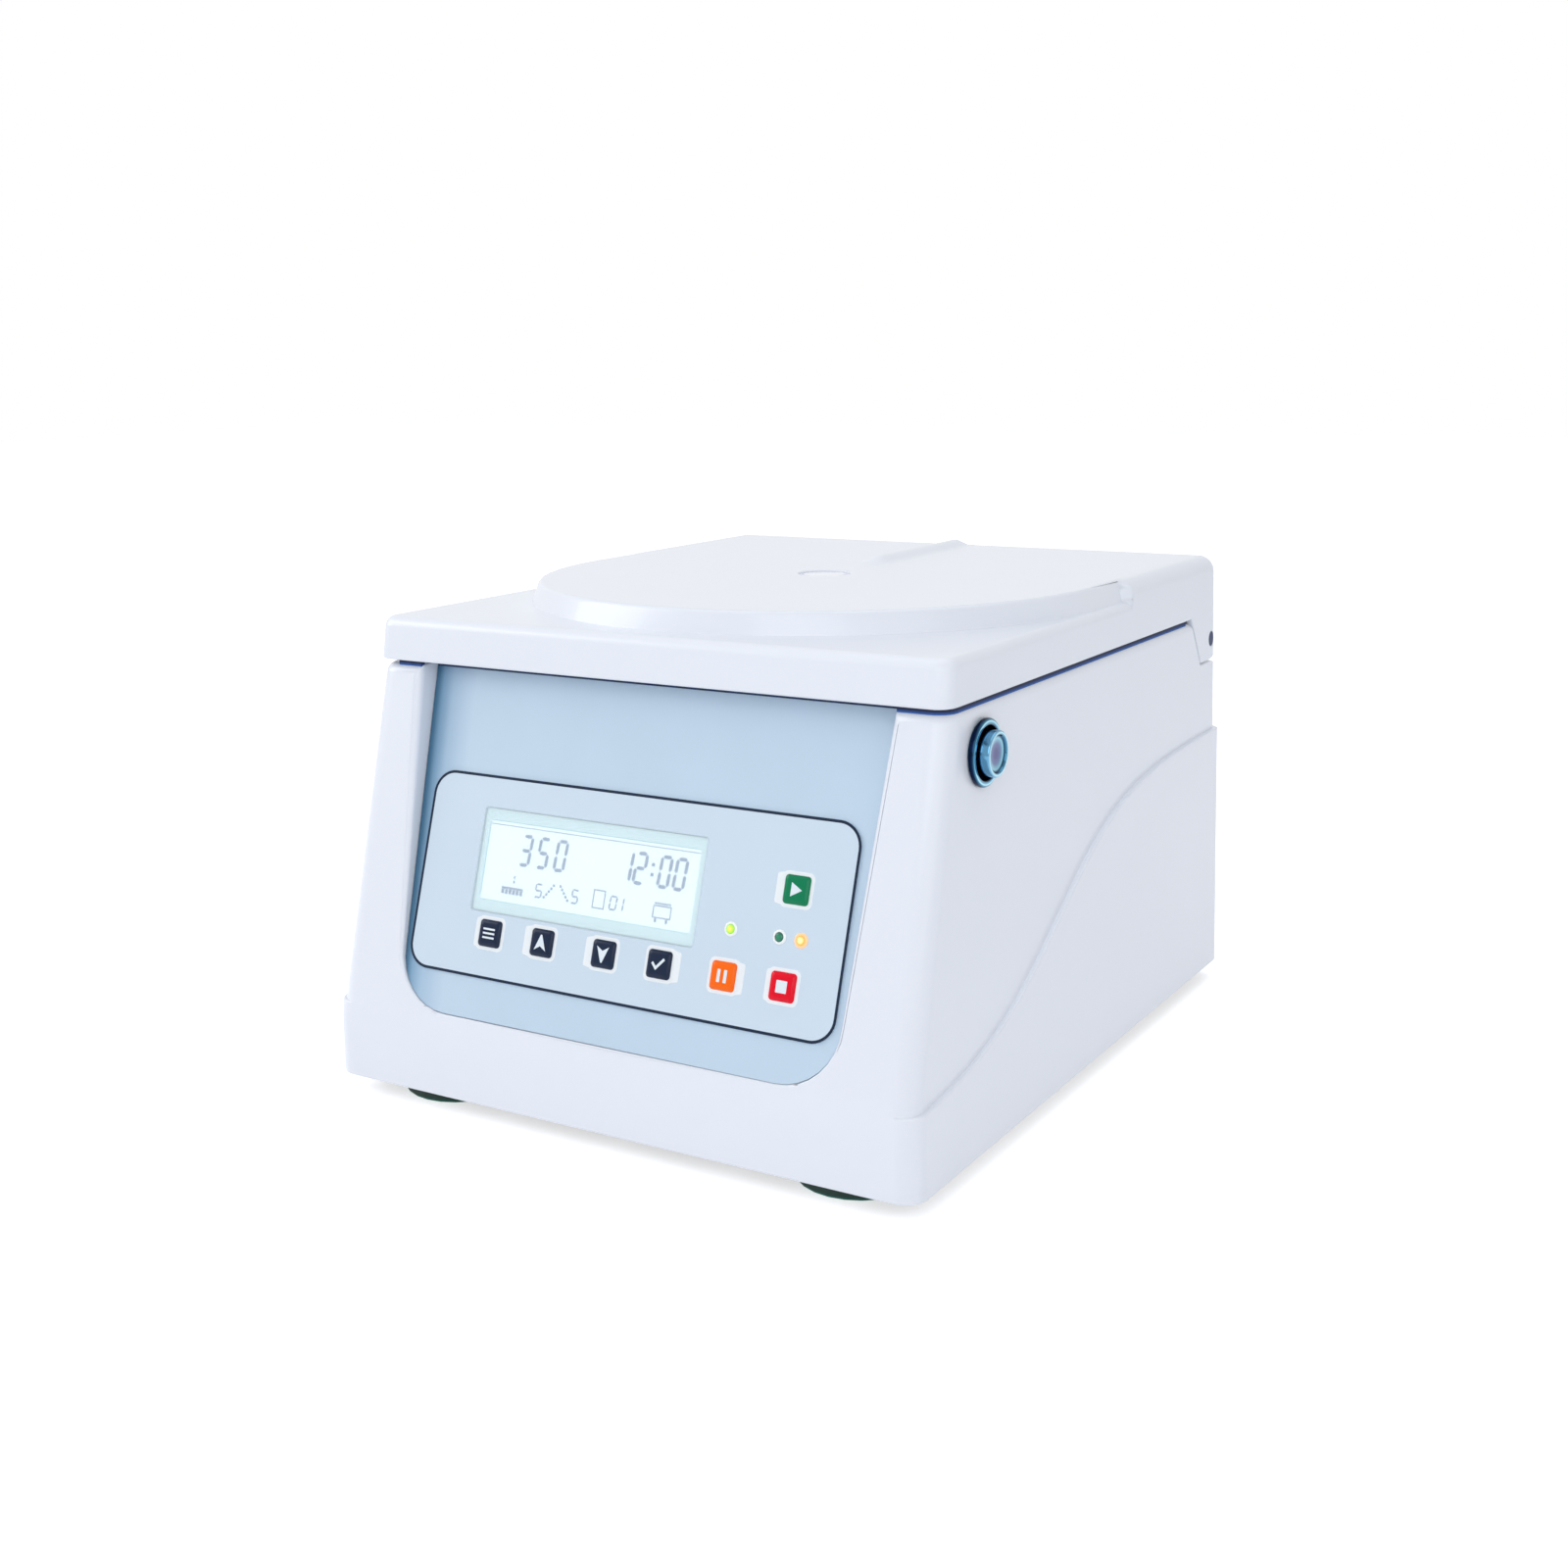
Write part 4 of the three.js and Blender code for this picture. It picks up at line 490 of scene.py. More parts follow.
# The ears' edges stay narrow in front of the hinge, and sharp at the pin and behind it
def lidEdge(point):
    fromPin = math.hypot(point.y / mm - hinge["y"], point.z / mm - hinge["z"])
    fromMiddle = abs(point.x - machine["shiftX"])
    if point.z > hinge["earTop"] * mm or fromMiddle < hinge["earFrom"] * mm:
        return shellEdges["lid"]
    behind = point.y > (hinge["y"] - 1) * mm
    return 0 if behind or fromPin < hinge["clear"] else shellEdges["ear"]


dressed("caseMoulding", "case_shell", "case", shellWhite, widthAt=caseEdge)

# Rib on the lid: a low smooth swelling from behind the lens to the back edge
rib = {
    "halfWidth": 9.5,
    "rise": 2.95,
    "sunk": 0.04,
    "slack": 0.02,
    "start": 58,
    "end": 166.5,
    "rampFront": 17,
    "rampRear": 5,
    "across": 24,
    "along": 90,
}


# The solid's plain rib is lowered to the lid's top, and the smooth one takes its place
def flattenRib(form):
    top = machine["lidTop"]
    for vert in form.verts:
        if vert.co.z > top + rib["slack"] * mm:
            vert.co.z = top


dressed(
    "lidMoulding", "lid_shell", "lid", shellWhite, widthAt=lidEdge, edit=flattenRib
)


def easedStep(t):
    t = max(0.0, min(1.0, t))
    return t * t * (3 - 2 * t)


def ribMesh():
    points, faces = [], []
    row = rib["across"] + 1
    for i in range(rib["along"] + 1):
        y = rib["start"] + (rib["end"] - rib["start"]) * i / rib["along"]
        front = easedStep((y - rib["start"]) / rib["rampFront"])
        lift = front * easedStep((rib["end"] - y) / rib["rampRear"])
        for k in range(row):
            t = 2 * k / rib["across"] - 1
            swell = 0.5 + 0.5 * math.cos(math.pi * t)
            height = rib["rise"] * lift * swell - rib["sunk"]
            points.append((rib["halfWidth"] * t * mm, y * mm, machine["lidTop"] + height * mm))
    for i in range(rib["along"]):
        for k in range(rib["across"]):
            a = i * row + k
            faces.append((a, a + 1, a + row + 1, a + row))
    return meshOf(points, faces, centreFrame)


piece("lidRib", ribMesh(), "lid", shellWhite, smoothBelow=60)

# Dark sealing strips in the gap between case and lid, which also paint the gap's shadow.
# The right one turns its corner to the panel; the left one leaves its corner open, where the
# photograph shows the notch white
strip = {"width": 2.5, "low": 195.3, "high": 197.6, "rear": 129.5, "leftFront": -120, "inset": 134}
corner = {"x": 135.1, "y": -131.0, "radius": 8.2, "end": 121.0, "steps": 6}


def stripLine(radius):
    turns = [math.pi / 2 * k / corner["steps"] for k in range(corner["steps"] + 1)]
    bend = [
        (corner["x"] + radius * math.cos(a), corner["y"] - radius * math.sin(a)) for a in turns
    ]
    return [(bend[0][0], strip["rear"]), *bend, (corner["end"], bend[-1][1])]


def stripBar(xs, ys):
    return [(xs[0], ys[0]), (xs[1], ys[0]), (xs[1], ys[1]), (xs[0], ys[1])]


innerRadius = corner["radius"] - strip["width"]
sideXs = (-corner["x"] - corner["radius"], -corner["x"] - innerRadius)
frontYs = (corner["y"] - corner["radius"], corner["y"] - innerRadius)
stripOutlines = {
    "rimStripLeft": [
        stripBar(sideXs, (strip["leftFront"], strip["rear"])),
        stripBar((-strip["inset"], -corner["end"]), frontYs),
    ],
    "rimStripRight": [stripLine(corner["radius"]) + stripLine(innerRadius)[::-1]],
}
for name, outlines in stripOutlines.items():
    mesh = plateMesh(outlines, strip["low"], strip["high"], centreFrame)
    piece(name, mesh, "case", rubberGapShade, smoothBelow=0)
print("case and lid ready")

# Control panel: plate, film and the film's printed outline
dressed("panelPlate", "fascia_panel", "case", panelBlue, width=0.25)
dressed(
    "panelFilm", "keypad_overlay", "case", overlayFilm, width=0.12, segments=2
)
film = {"halfX": 109.75, "halfY": 44.7, "radius": 11.0, "line": 1.2, "low": 0.7, "high": 0.86}


def filmOutline(inset):
    halfX, halfY, radius = (film[key] - inset for key in ("halfX", "halfY", "radius"))
    return roundedSquare(halfX, halfY, radius, 0, film["halfY"], steps=10)


outlineRing = ringMesh(
    filmOutline(0), filmOutline(film["line"]), film["low"], film["high"], panelFrame
)
piece("panelOutline", outlineRing, "case", outlineInk)

# Painted shade under the lid: a dark sheet along the panel's top, where the lid's shadow falls.
# Half width and height of its two long edges
panelSeal = {"low": (119.6, 135.8), "high": (119.7, 137.0), "thick": 0.3}
(lowX, lowUp), (highX, highUp) = panelSeal["low"], panelSeal["high"]
shadeLineOutline = [(-lowX, lowUp), (lowX, lowUp), (highX, highUp), (-highX, highUp)]
shadeLineMesh = plateMesh([shadeLineOutline], 0, panelSeal["thick"], panelFrame)
piece("panelSeal", shadeLineMesh, "case", shadeLineNavy, smoothBelow=0)

# Display: a glowing screen behind a clear cover, with numbers and a row of plain marks
display = {
    "x": -20.3,
    "up": 52.2,
    "halfX": 55.7,
    "halfY": 17.6,
    "bend": 0.6,
    "screen": -0.74,
    "thick": 0.04,
    "ink": -0.66,
    "edgeTop": -0.64,
    "edgeOuter": (0.7, 0.9),
    "edgeInner": (-0.1, 0.5),
}
cover = {"halfX": 59.3, "halfY": 23.5, "bend": 1.6, "low": 0.3, "high": 0.9}


def displayOutline(grown, bend):
    halfX, halfY = display["halfX"] + grown, display["halfY"] + grown
    return roundedSquare(halfX, halfY, bend, display["x"], display["up"])


screenFoot = display["screen"] - display["thick"]
screenOutline = displayOutline(0, display["bend"])
screenMesh = plateMesh([screenOutline], screenFoot, display["screen"], panelFrame)
piece("displayScreen", screenMesh, "case", screenGlow)

# The numbers: what they show, where each digit starts, and how large they are
segments = ("abcdef", "bc", "abged", "abgcd", "fgbc", "afgcd", "afgedc", "abc", "abcdefg", "abcdfg")
segmentsOfDigit = dict(zip("0123456789", segments))
digitStyle = {"lean": 0.06, "gap": 0.18}  # the gap between segments is a share of the stroke
numberRows = {
    "speed and time": {
        "digits": "3501200",
        "xs": (-58.2, -48.7, -39.2, -4.4, 2.7, 15.2, 23.0),
        "up": 52.0,
        "width": 6.3,
        "height": 12.6,
        "stroke": 1.5,
    },
    "ramps and programme": {
        "digits": "5501",
        "xs": (-46.8, -27.2, -7.0, -3.4),
        "up": 39.2,
        "width": 3.9,
        "height": 5.6,
        "stroke": 0.7,
    },
}


# One segment, a bar with pointed ends that lies at a level, or stands there when standing
def segmentBar(start, end, level, stroke, standing=False):
    half = stroke / 2
    bar = [
        (start, level),
        (start + half, level + half),
        (end - half, level + half),
        (end, level),
        (end - half, level - half),
        (start + half, level - half),
    ]
    return [(across, up) for up, across in bar] if standing else bar


def digitShapes(digit, x, row):
    y, stroke, middle = row["up"], row["stroke"], row["height"] / 2
    gap = stroke * digitStyle["gap"]
    left, right = x + stroke / 2, x + row["width"] - stroke / 2
    levels = {"a": y + row["height"], "g": y + middle, "d": y}
    sides = {"b": (right, y + middle), "c": (right, y), "f": (left, y + middle), "e": (left, y)}
    shapes = []
    for segment in segmentsOfDigit[digit]:
        if segment in levels:
            shapes.append(segmentBar(left + gap, right - gap, levels[segment], stroke))
        else:
            side, low = sides[segment]
            shapes.append(segmentBar(low + gap, low + middle - gap, side, stroke, True))
    return [[(px + digitStyle["lean"] * (py - y), py) for px, py in shape] for shape in shapes]


# The plain marks, made of bars: half width, half height, corner radius, x and height
markBars = {
    "colon": [(0.75, 0.75, 0.3, 12.5, y) for y in (56.4, 60.6)],
    "level": [(0.7, 1.0, 0.2, -64.0 + 2.0 * k, 39.4) for k in range(6)],
    "level top": [(5.8, 0.45, 0.1, -59, 41.0)],
    "drop": [(0.4, 0.6, 0.1, -58.6, y) for y in (44.0, 46.0)],
    "ramp up": [(0.55, 0.55, 0.2, -41.4 + 1.1 * k, 39.6 + 1.4 * k) for k in range(5)],
    "ramp down": [(0.55, 0.55, 0.2, -33.4 + 1.15 * k, 45.4 - 1.4 * k) for k in range(5)],
    "programme sides": [(0.25, 4.0, 0.1, x, 42.6) for x in (-15.4, -9.6)],
    "programme ends": [(3.1, 0.25, 0.1, -12.5, y) for y in (38.8, 46.4)],
    "lid ends": [(4.6, 0.25, 0.1, 20.2, y) for y in (39.0, 44.0)],
    "lid sides": [(0.25, 2.6, 0.1, x, 41.5) for x in (15.8, 24.6)],
    "lid feet": [(0.5, 0.8, 0.1, x, 37.8) for x in (17.4, 23.0)],
    "lid dots": [(0.45, 0.4, 0.1, 16.6 + 1.2 * k, 45.0) for k in range(7)],
    "top line": [(55.2, 0.16, 0.05, -20.3, 68.2)],
}
marks = []
for row in numberRows.values():
    for digit, x in zip(row["digits"], row["xs"]):
        marks += digitShapes(digit, x, row)
marks += [roundedSquare(*bar, steps=2) for bars in markBars.values() for bar in bars]
markMesh = plateMesh(marks, display["screen"], display["ink"], panelFrame)
piece("displayNumbers", markMesh, "case", segmentInk, smoothBelow=0)

coverOutline = roundedSquare(
    cover["halfX"], cover["halfY"], cover["bend"], display["x"], display["up"]
)
coverMesh = plateMesh([coverOutline], cover["low"], cover["high"], panelFrame)
piece("displayCover", coverMesh, "case", windowClear, ["display_window"])
edgeOutlines = [displayOutline(*display[key]) for key in ("edgeOuter", "edgeInner")]
edgeMesh = ringMesh(*edgeOutlines, screenFoot, display["edgeTop"], panelFrame)
piece("displayEdge", edgeMesh, "case", glassEdgeTint, smoothBelow=0)

# Keys: soft domed caps with a plain sign, each in a raised rim of film
keyPlan = {
    "half": 6.0,
    "bend": 1.6,
    "bendFall": 0.4,
    "leastBend": 0.7,
    "stem": 2.5,
    "stemBend": 0.5,
    "stemFoot": -6.9,
    "skirt": -1.2,
    "shoulder": 0.85,
    "rise": 2.25,
    "crown": 0.1,
    "inset": 2.2,
    "steps": 8,
    "signLow": 2.05,
    "signHigh": 2.3,
}
keyRim = {"foot": (7.5, 2.6, 0.78), "top": (7.2, 2.4, 1.0), "wingHeight": 6.4}
lowerRow, startRow = 20.1, 59.2
chevron = [(-3.1, -3.3), (0, -1.4), (3.1, -3.3), (0.35, 3.6), (-0.35, 3.6)]
signs = {
    "menu": [roundedSquare(3.2, 0.42, 0.2, 0, y, steps=2) for y in (-1.9, 0, 1.9)],
    "up": [chevron],
    "down": [[(x, -y) for x, y in reversed(chevron)]],
    "tick": [[(-3.3, 0.2), (-2.5, 1.0), (-0.9, -0.8), (2.5, 2.9), (3.3, 2.1), (-0.9, -2.5)]],
    "pause": [roundedSquare(0.75, 2.7, 0.2, x, 0, steps=2) for x in (-1.6, 1.6)],
    "stop": [roundedSquare(2.5, 2.5, 0.3, steps=2)],
    "play": [[(-2.1, -2.9), (3.0, 0), (-2.1, 2.9)]],
}
# Each key's place, finish, slot and sign, and how far its rim is drawn out to one side
keyRows = {
    "key_select": (-65.8, lowerRow, keyDark, "key_dark", "menu", -1.2),
    "key_up": (-37.2, lowerRow, keyDark, "key_dark", "up", -2.6),
    "key_down": (-4.5, lowerRow, keyDark, "key_dark", "down", -2.6),
    "key_set": (24.0, lowerRow, keyDark, "key_dark", "tick", 2.6),
    "key_pause": (55.5, lowerRow, keyOrange, "key_orange", "pause", 2.2),
    "key_stop": (83.7, lowerRow, keyRed, "key_red", "stop", -1.0),
    "key_start": (83.7, startRow, keyGreen, "key_green", "play", -2.4),
}


def keyCapSections():
    half, bend, steps = keyPlan["half"], keyPlan["bend"], keyPlan["steps"]
    climb = keyPlan["rise"] - keyPlan["shoulder"] - keyPlan["crown"]
    stem = roundedSquare(keyPlan["stem"], keyPlan["stem"], keyPlan["stemBend"])
    sections = [(stem, keyPlan["stemFoot"]), (stem, keyPlan["skirt"])]
    sections.append((roundedSquare(half, half, bend), keyPlan["skirt"]))
    for k in range(steps + 1):
        t = k / steps
        a = math.pi / 2 * t
        inset = keyPlan["inset"] * (1 - math.cos(a))
        height = keyPlan["shoulder"] + climb * math.sin(a) + keyPlan["crown"] * t**2
        size = half - inset
        cornerBend = max(keyPlan["leastBend"], bend - keyPlan["bendFall"] * inset)
        sections.append((roundedSquare(size, size, cornerBend), height))
    return sections


def rimSection(half, bend, height, wing):
    outline = roundedSquare(half, half, bend)
    reach = keyRim["wingHeight"]
    drawn = [(x + (wing if x * wing > 0 and abs(y) < reach else 0), y) for x, y in outline]
    return drawn, height


capSections = keyCapSections()
for node, (x, up, material, slotName, sign, wing) in keyRows.items():
    place = panelFrame @ Matrix.Translation((x * mm, up * mm, 0))
    cap = lofted(capSections, place)
    piece(node + "Cap", cap, node, material, [node], smoothBelow=60)
    signMesh = plateMesh(signs[sign], keyPlan["signLow"], keyPlan["signHigh"], place)
    piece(node + "Sign", signMesh, node, keySymbol, smoothBelow=0)
    rim = lofted([rimSection(*keyRim[end], wing) for end in ("foot", "top")], place)
    piece(node + "Rim", rim, "case", keyRimHighlight, smoothBelow=0)

# Indicator lamps: a dome in a bezel, its colours from the middle outwards
lampPlan = {
    "up": 39.5,
    "glowUp": 1.2,
    "roughness": 0.15,
    "domeFoot": [(0, -9.9), (2.4, -9.9), (2.4, 0.8)],
    "dome": [(2.1, 0.95), (1.95, 1.3), (1.5, 1.6), (0.8, 1.78), (0, 1.8)],
    "bezel": [(2.0, 0.7), (2.0, 1.25), (2.3, 1.4), (2.7, 1.3), (3.1, 0.95), (3.1, 0.7), (2.0, 0.7)],
}
lampRows = {
    "lamp_power": {
        "x": 55.7,
        "glow": 0.55,
        "stops": [(0, "#f4f9a8"), (1.0, "#c9e64a"), (1.9, "#7fc23a"), (2.6, "#4f9a3c")],
        "bezel": lampBezel,
    },
    "lamp_ready": {
        "x": 78.8,
        "glow": 0.08,
        "stops": [(0, "#2c9a72"), (0.9, "#12805e"), (1.8, "#0d5f4c"), (2.6, "#0a4a44")],
        "bezel": lampBezel,
    },
    "lamp_run": {
        "x": 88.9,
        "glow": 0.9,
        "stops": [(0, "#fff2c8"), (0.8, "#ffd890"), (1.6, "#ff9c4a"), (2.6, "#f2642c")],
        "bezel": lampSpillGlow,
    },
}
for node, lamp in lampRows.items():
    place = panelFrame @ Matrix.Translation((lamp["x"] * mm, lampPlan["up"] * mm, 0))
    glowCentre = awayFrom(place @ Vector((0, 0, lampPlan["glowUp"] * mm)))
    clear = glowing(node + "Light", "#ffffff", lamp["glow"], lampPlan["roughness"])
    light = tinted(clear, glowCentre, lamp["stops"])
    dome = turned(lampPlan["domeFoot"] + lampPlan["dome"], place, steps=40)
    piece(node + "Lens", dome, "case", light, [node], smoothBelow=60)
    bezel = turned(lampPlan["bezel"], place, steps=40)
    piece(node + "Bezel", bezel, "case", lamp["bezel"], smoothBelow=70)
print("control panel ready")

# Lid lock: chrome ring and button, turned about their own axis
lockPlan = {
    "face": 146.13,
    "tail": 10,
    "bore": 11.2,
    "neck": 12.0,
    "ring": 14.0,
    "ringRise": 2.2,
    "stem": 4.0,
    "stemTail": 131.1,
    "collar": 10.8,
    "collarIn": (6, 4.4),
    "button": 9.5,
    "buttonFace": 152.93,
    "dish": [(1.6, 0, 0.5), (2.2, 1.1, 0.4), (5.0, 1.5, 2.5)],
    "dishDepth": 1.7,
}
face, buttonFace, stem, collar = (lockPlan[k] for k in ("face", "buttonFace", "stem", "collar"))
bore, neck, ringEdge, buttonEdge = (lockPlan[k] for k in ("bore", "neck", "ring", "button"))
ringTail, ringFace = face - lockPlan["tail"], face + lockPlan["ringRise"]
ringProfile = [
    (bore, ringTail),
    (neck, ringTail, 0.3),
    (neck, face),
    (ringEdge, face, 0.3),
    (ringEdge, ringFace, 1.3),
    (bore, ringFace, 0.6),
    (bore, ringTail),
]
ring = turned(rounded(ringProfile, steps=6), lockFrame)
piece("lockRing", ring, "case", chromeRing, ["lock_flange"], smoothBelow=50)
collarTail, collarFace = (face - depth for depth in lockPlan["collarIn"])
buttonProfile = [
    (0, lockPlan["stemTail"]),
    (stem, lockPlan["stemTail"]),
    (stem, collarTail),
    (collar, collarTail, 0.3),
    (collar, collarFace, 0.3),
    (buttonEdge, collarFace),
    (buttonEdge, buttonFace, 0.9),
    *[(buttonEdge - edge, buttonFace - deep, bend) for edge, deep, bend in lockPlan["dish"]],
    (0, buttonFace - lockPlan["dishDepth"]),
]
button = turned(rounded(buttonProfile, steps=6), lockFrame)
piece("lockButton", button, "release", chromeButton, ["release_button"], smoothBelow=50)

# Chamber, gasket and rotor, which show when the lid is open
bowl = {
    "hub": 18,
    "wall": 100,
    "floor": 97.5,
    "sheet": 1.5,
    "rim": 108,
    "rimLow": 196.3,
    "rimTop": 197.5,
}
innerWall, innerFloor = bowl["wall"] - bowl["sheet"], bowl["floor"] + bowl["sheet"]
bowlProfile = [
    (bowl["hub"], bowl["floor"]),
    (bowl["wall"], bowl["floor"], 12),
    (bowl["wall"], bowl["rimLow"]),
    (bowl["rim"], bowl["rimLow"], 0.3),
    (bowl["rim"], bowl["rimTop"], 0.5),
    (innerWall, bowl["rimTop"], 1.0),
    (innerWall, innerFloor, 10.5),
    (bowl["hub"], innerFloor),
    (bowl["hub"], bowl["floor"]),
]
bowlMesh = turned(rounded(bowlProfile, steps=8), rotorFrame, steps=128)
piece("chamberBowl", bowlMesh, "case", steelBrushed, ["chamber_bowl"], smoothBelow=40)
dressed("rotorDish", "rotor_plate", "rotor", aluminiumTurned, width=0.4)
for k in range(6):
    name, node = f"tubeHolder{k + 1}", f"tube_holder_{k + 1}"
    dressed(name, node, "rotor", blackPlastic, width=0.4, sharp=50)
gasket = {"inner": 101, "outer": 107, "low": 197.8, "high": 199.7}
gasketProfile = [
    (gasket["inner"], gasket["low"]),
    (gasket["outer"], gasket["low"], 0.6),
    (gasket["outer"], gasket["high"], 0.3),
    (gasket["inner"], gasket["high"], 0.3),
    (gasket["inner"], gasket["low"]),
]
gasketMesh = turned(rounded(gasketProfile), rotorFrame, steps=128)
piece("lidSeal", gasketMesh, "lid", rubberBlack, ["lid_gasket"], smoothBelow=60)
knob = {
    "bore": 6.3,
    "boreTop": 165.7,
    "radius": 14.2,
    "foot": 156.3,
    "top": 172.0,
    "dish": (9, 8.0),
    "dishFloor": 171.2,
}
knobProfile = [
    (0, knob["boreTop"]),
    (knob["bore"], knob["boreTop"]),
    (knob["bore"], knob["foot"]),
    (knob["radius"], knob["foot"], 0.5),
    (knob["radius"], knob["top"], 1.6),
    (knob["dish"][0], knob["top"], 0.3),
    (knob["dish"][1], knob["dishFloor"], 0.3),
    (0, knob["dishFloor"]),
]
knobMesh = turned(rounded(knobProfile), rotorFrame, steps=72)
piece("rotorNut", knobMesh, "rotor", blackPlastic, ["rotor_knob"], smoothBelow=50)
print("chamber and rotor ready")

# Lens in the lid: the milky cover of the speed sight, with painted shade at its rim for its groove
lens = {"stem": 9.2, "foot": 200, "flange": 12.2, "flangeLow": 225.3, "top": 226.5}
lensProfile = [
    (0, lens["foot"]),
    (lens["stem"], lens["foot"], 0.2),
    (lens["stem"], lens["flangeLow"], 0.2),
    (lens["flange"], lens["flangeLow"], 0.2),
    (lens["flange"], lens["top"], 0.4),
    (0, lens["top"]),
]
lensMilky = tinted(
    finish("lensMilky", "#e6eaf3", 0.22, mottle=0.0, coat=0.4),
    awayFrom(rotorFrame @ Vector((0, 0, lens["top"] * mm))),
    [(9.6, "#ffffff"), (10.6, "#b9c1da"), (12.2, "#c3cadf")],
)
lensMesh = turned(rounded(lensProfile), rotorFrame, steps=72)
piece("lidLens", lensMesh, "lid", lensMilky, ["lid_lens"], smoothBelow=50)

# Other CAD pieces that show: body, finish, slot and how wide their edges are broken
sides = ("left", "right")
plainPieces = {
    "base_pan": ("case", zincSheet, "pan_steel", 0.3),
    "lid_liner": ("lid", shellWhite, "shell_white", 0.6),
    "lid_striker": ("lid", steelPlain, "stainless", 0.3),
    **{f"hinge_arm_{side}": ("case", zincSheet, "pan_steel", 0.5) for side in sides},
    **{f"hinge_pin_{side}": ("lid", hingePinShade, "stainless", 0.25) for side in sides},
    "mains_inlet": ("case", blackPlastic, "black_plastic", 0.3),
    "switch_housing": ("case", blackPlastic, "black_plastic", 0.3),
    "power_rocker": ("rocker", blackPlastic, "black_plastic", 0.4),
    "vent_plate": ("case", blackPlastic, "black_plastic", 0.25),
    "display_module": ("case", moduleFrame, "display_glass", 0.2),
    **{f"foot_front_{side}": ("case", footRubber, "rubber_black", 0.6) for side in sides},
    **{f"foot_rear_{side}": ("case", footRubber, "rubber_black", 0.6) for side in sides},
}
for node, (body, material, slotName, width) in plainPieces.items():
    first, *others = node.split("_")
    name = first + "".join(word.title() for word in others)
    dressed(name, node, body, material, width=width, segments=2)

# CAD pieces inside, which keep their solids and take their finish
innerPieces = {
    "control_board": boardGreen,
    "power_board": boardGreen,
    "motor_housing": motorPaint,
    "motor_plate": zincSheet,
    "upper_bearing": steelPlain,
    "lower_bearing": steelPlain,
    "shaft_boot": rubberBlack,
    "motor_shaft": steelPlain,
    **{f"motor_damper_{k + 1}": rubberBlack for k in range(4)},
    "lock_nut": steelPlain,
    "catch_bolt": steelPlain,
}
for node, material in innerPieces.items():
    slots = nodes[node].data.materials
    slots.clear()
    slots.append(material)
print("inner pieces ready")


# What repeats is set out by geometry nodes: one unit piece is placed on points, all tipped alike
def repeatTree():
    tree = bpy.data.node_groups.new("unitOnPoints", "GeometryNodeTree")
    sockets = {
        "Points": "NodeSocketGeometry",
        "Unit": "NodeSocketObject",
        "Turn": "NodeSocketRotation",
        "Finish": "NodeSocketMaterial",
    }
    for name, kind in sockets.items():
        tree.interface.new_socket(name=name, in_out="INPUT", socket_type=kind)
    tree.interface.new_socket(name="Pieces", in_out="OUTPUT", socket_type="NodeSocketGeometry")
    given = addNode(tree, "NodeGroupInput").outputs
    unit = addNode(tree, "GeometryNodeObjectInfo", Object=given["Unit"])
    placed = addNode(
        tree,
        "GeometryNodeInstanceOnPoints",
        Points=given["Points"],
        Instance=unit.outputs["Geometry"],
        Rotation=given["Turn"],
    )
    real = addNode(tree, "GeometryNodeRealizeInstances", Geometry=placed.outputs[0])
    finished = addNode(
        tree, "GeometryNodeSetMaterial", Geometry=real.outputs[0], Material=given["Finish"]
    )
    addNode(tree, "NodeGroupOutput", Pieces=finished.outputs[0])
    return tree


unitOnPoints = repeatTree()
unitSockets = {
    item.name: item.identifier
    for item in unitOnPoints.interface.items_tree
    if item.in_out == "INPUT"
}


def repeated(name, unitMesh, points, tip, body, material):
    unit = bpy.data.objects.new(name + "Unit", unitMesh)
    scene.collection.objects.link(unit)
    spots = bpy.data.meshes.new(name + "Points")
    spots.from_pydata([centreFrame @ (Vector(p) * mm) for p in points], [], [])
    holder = bpy.data.objects.new(name + "Points", spots)
    scene.collection.objects.link(holder)
    modifier = holder.modifiers.new("repeat", "NODES")
    modifier.node_group = unitOnPoints
    modifier[unitSockets["Unit"]] = unit
    modifier[unitSockets["Turn"]] = (math.radians(tip), 0, 0)
    modifier[unitSockets["Finish"]] = material
    mesh = evaluated(holder)
    bpy.data.objects.remove(holder)
    bpy.data.objects.remove(unit)
    piece(name, mesh, body, material, smoothBelow=35)


# A pan-head screw with a round socket, its head up, in shares of its radius and height
screwShape = [(0, 0), (1, 0), (1, 0.35), (0.8, 0.85), (0.5, 1), (0.5, 0.4), (0, 0.4)]


def screwUnit(radius, height):
    profile = [(radius * across, height * up) for across, up in screwShape]
    return turned(profile, atOrigin, steps=18)


# Screws by row: radius and height of the head, the tip about X that sets it outwards, and places
vent = {"x": 55, "z": 63, "screwX": 48, "screwZ": 22.5, "screwY": 177.55}
panFace, linerFace = 9.65, 200.05
screwRows = {
    "ventScrews": {
        "head": (2.3, 1.4),
        "tip": -90,
        "body": "case",
        "places": [
            (vent["x"] + sx * vent["screwX"], vent["screwY"], vent["z"] + sz * vent["screwZ"])
            for sx in (-1, 1)
            for sz in (-1, 1)
        ],
    },
    "panScrews": {
        "head": (3.2, 1.6),
        "tip": 180,
        "body": "case",
        "places": [(x, y, panFace) for x in (-134, 134) for y in (-90, -30, 30, 90)]
        + [(x, y, panFace) for x in (-60, 0, 60) for y in (-164, 160)],
    },
    "linerScrews": {
        "head": (3.0, 1.4),
        "tip": 180,
        "body": "lid",
        "places": [(x, y, linerFace) for x in (-125, 125) for y in (-100, 100)],
    },
}
for name, row in screwRows.items():
    unit = screwUnit(*row["head"])
    repeated(name, unit, row["places"], row["tip"], row["body"], steelPlain)

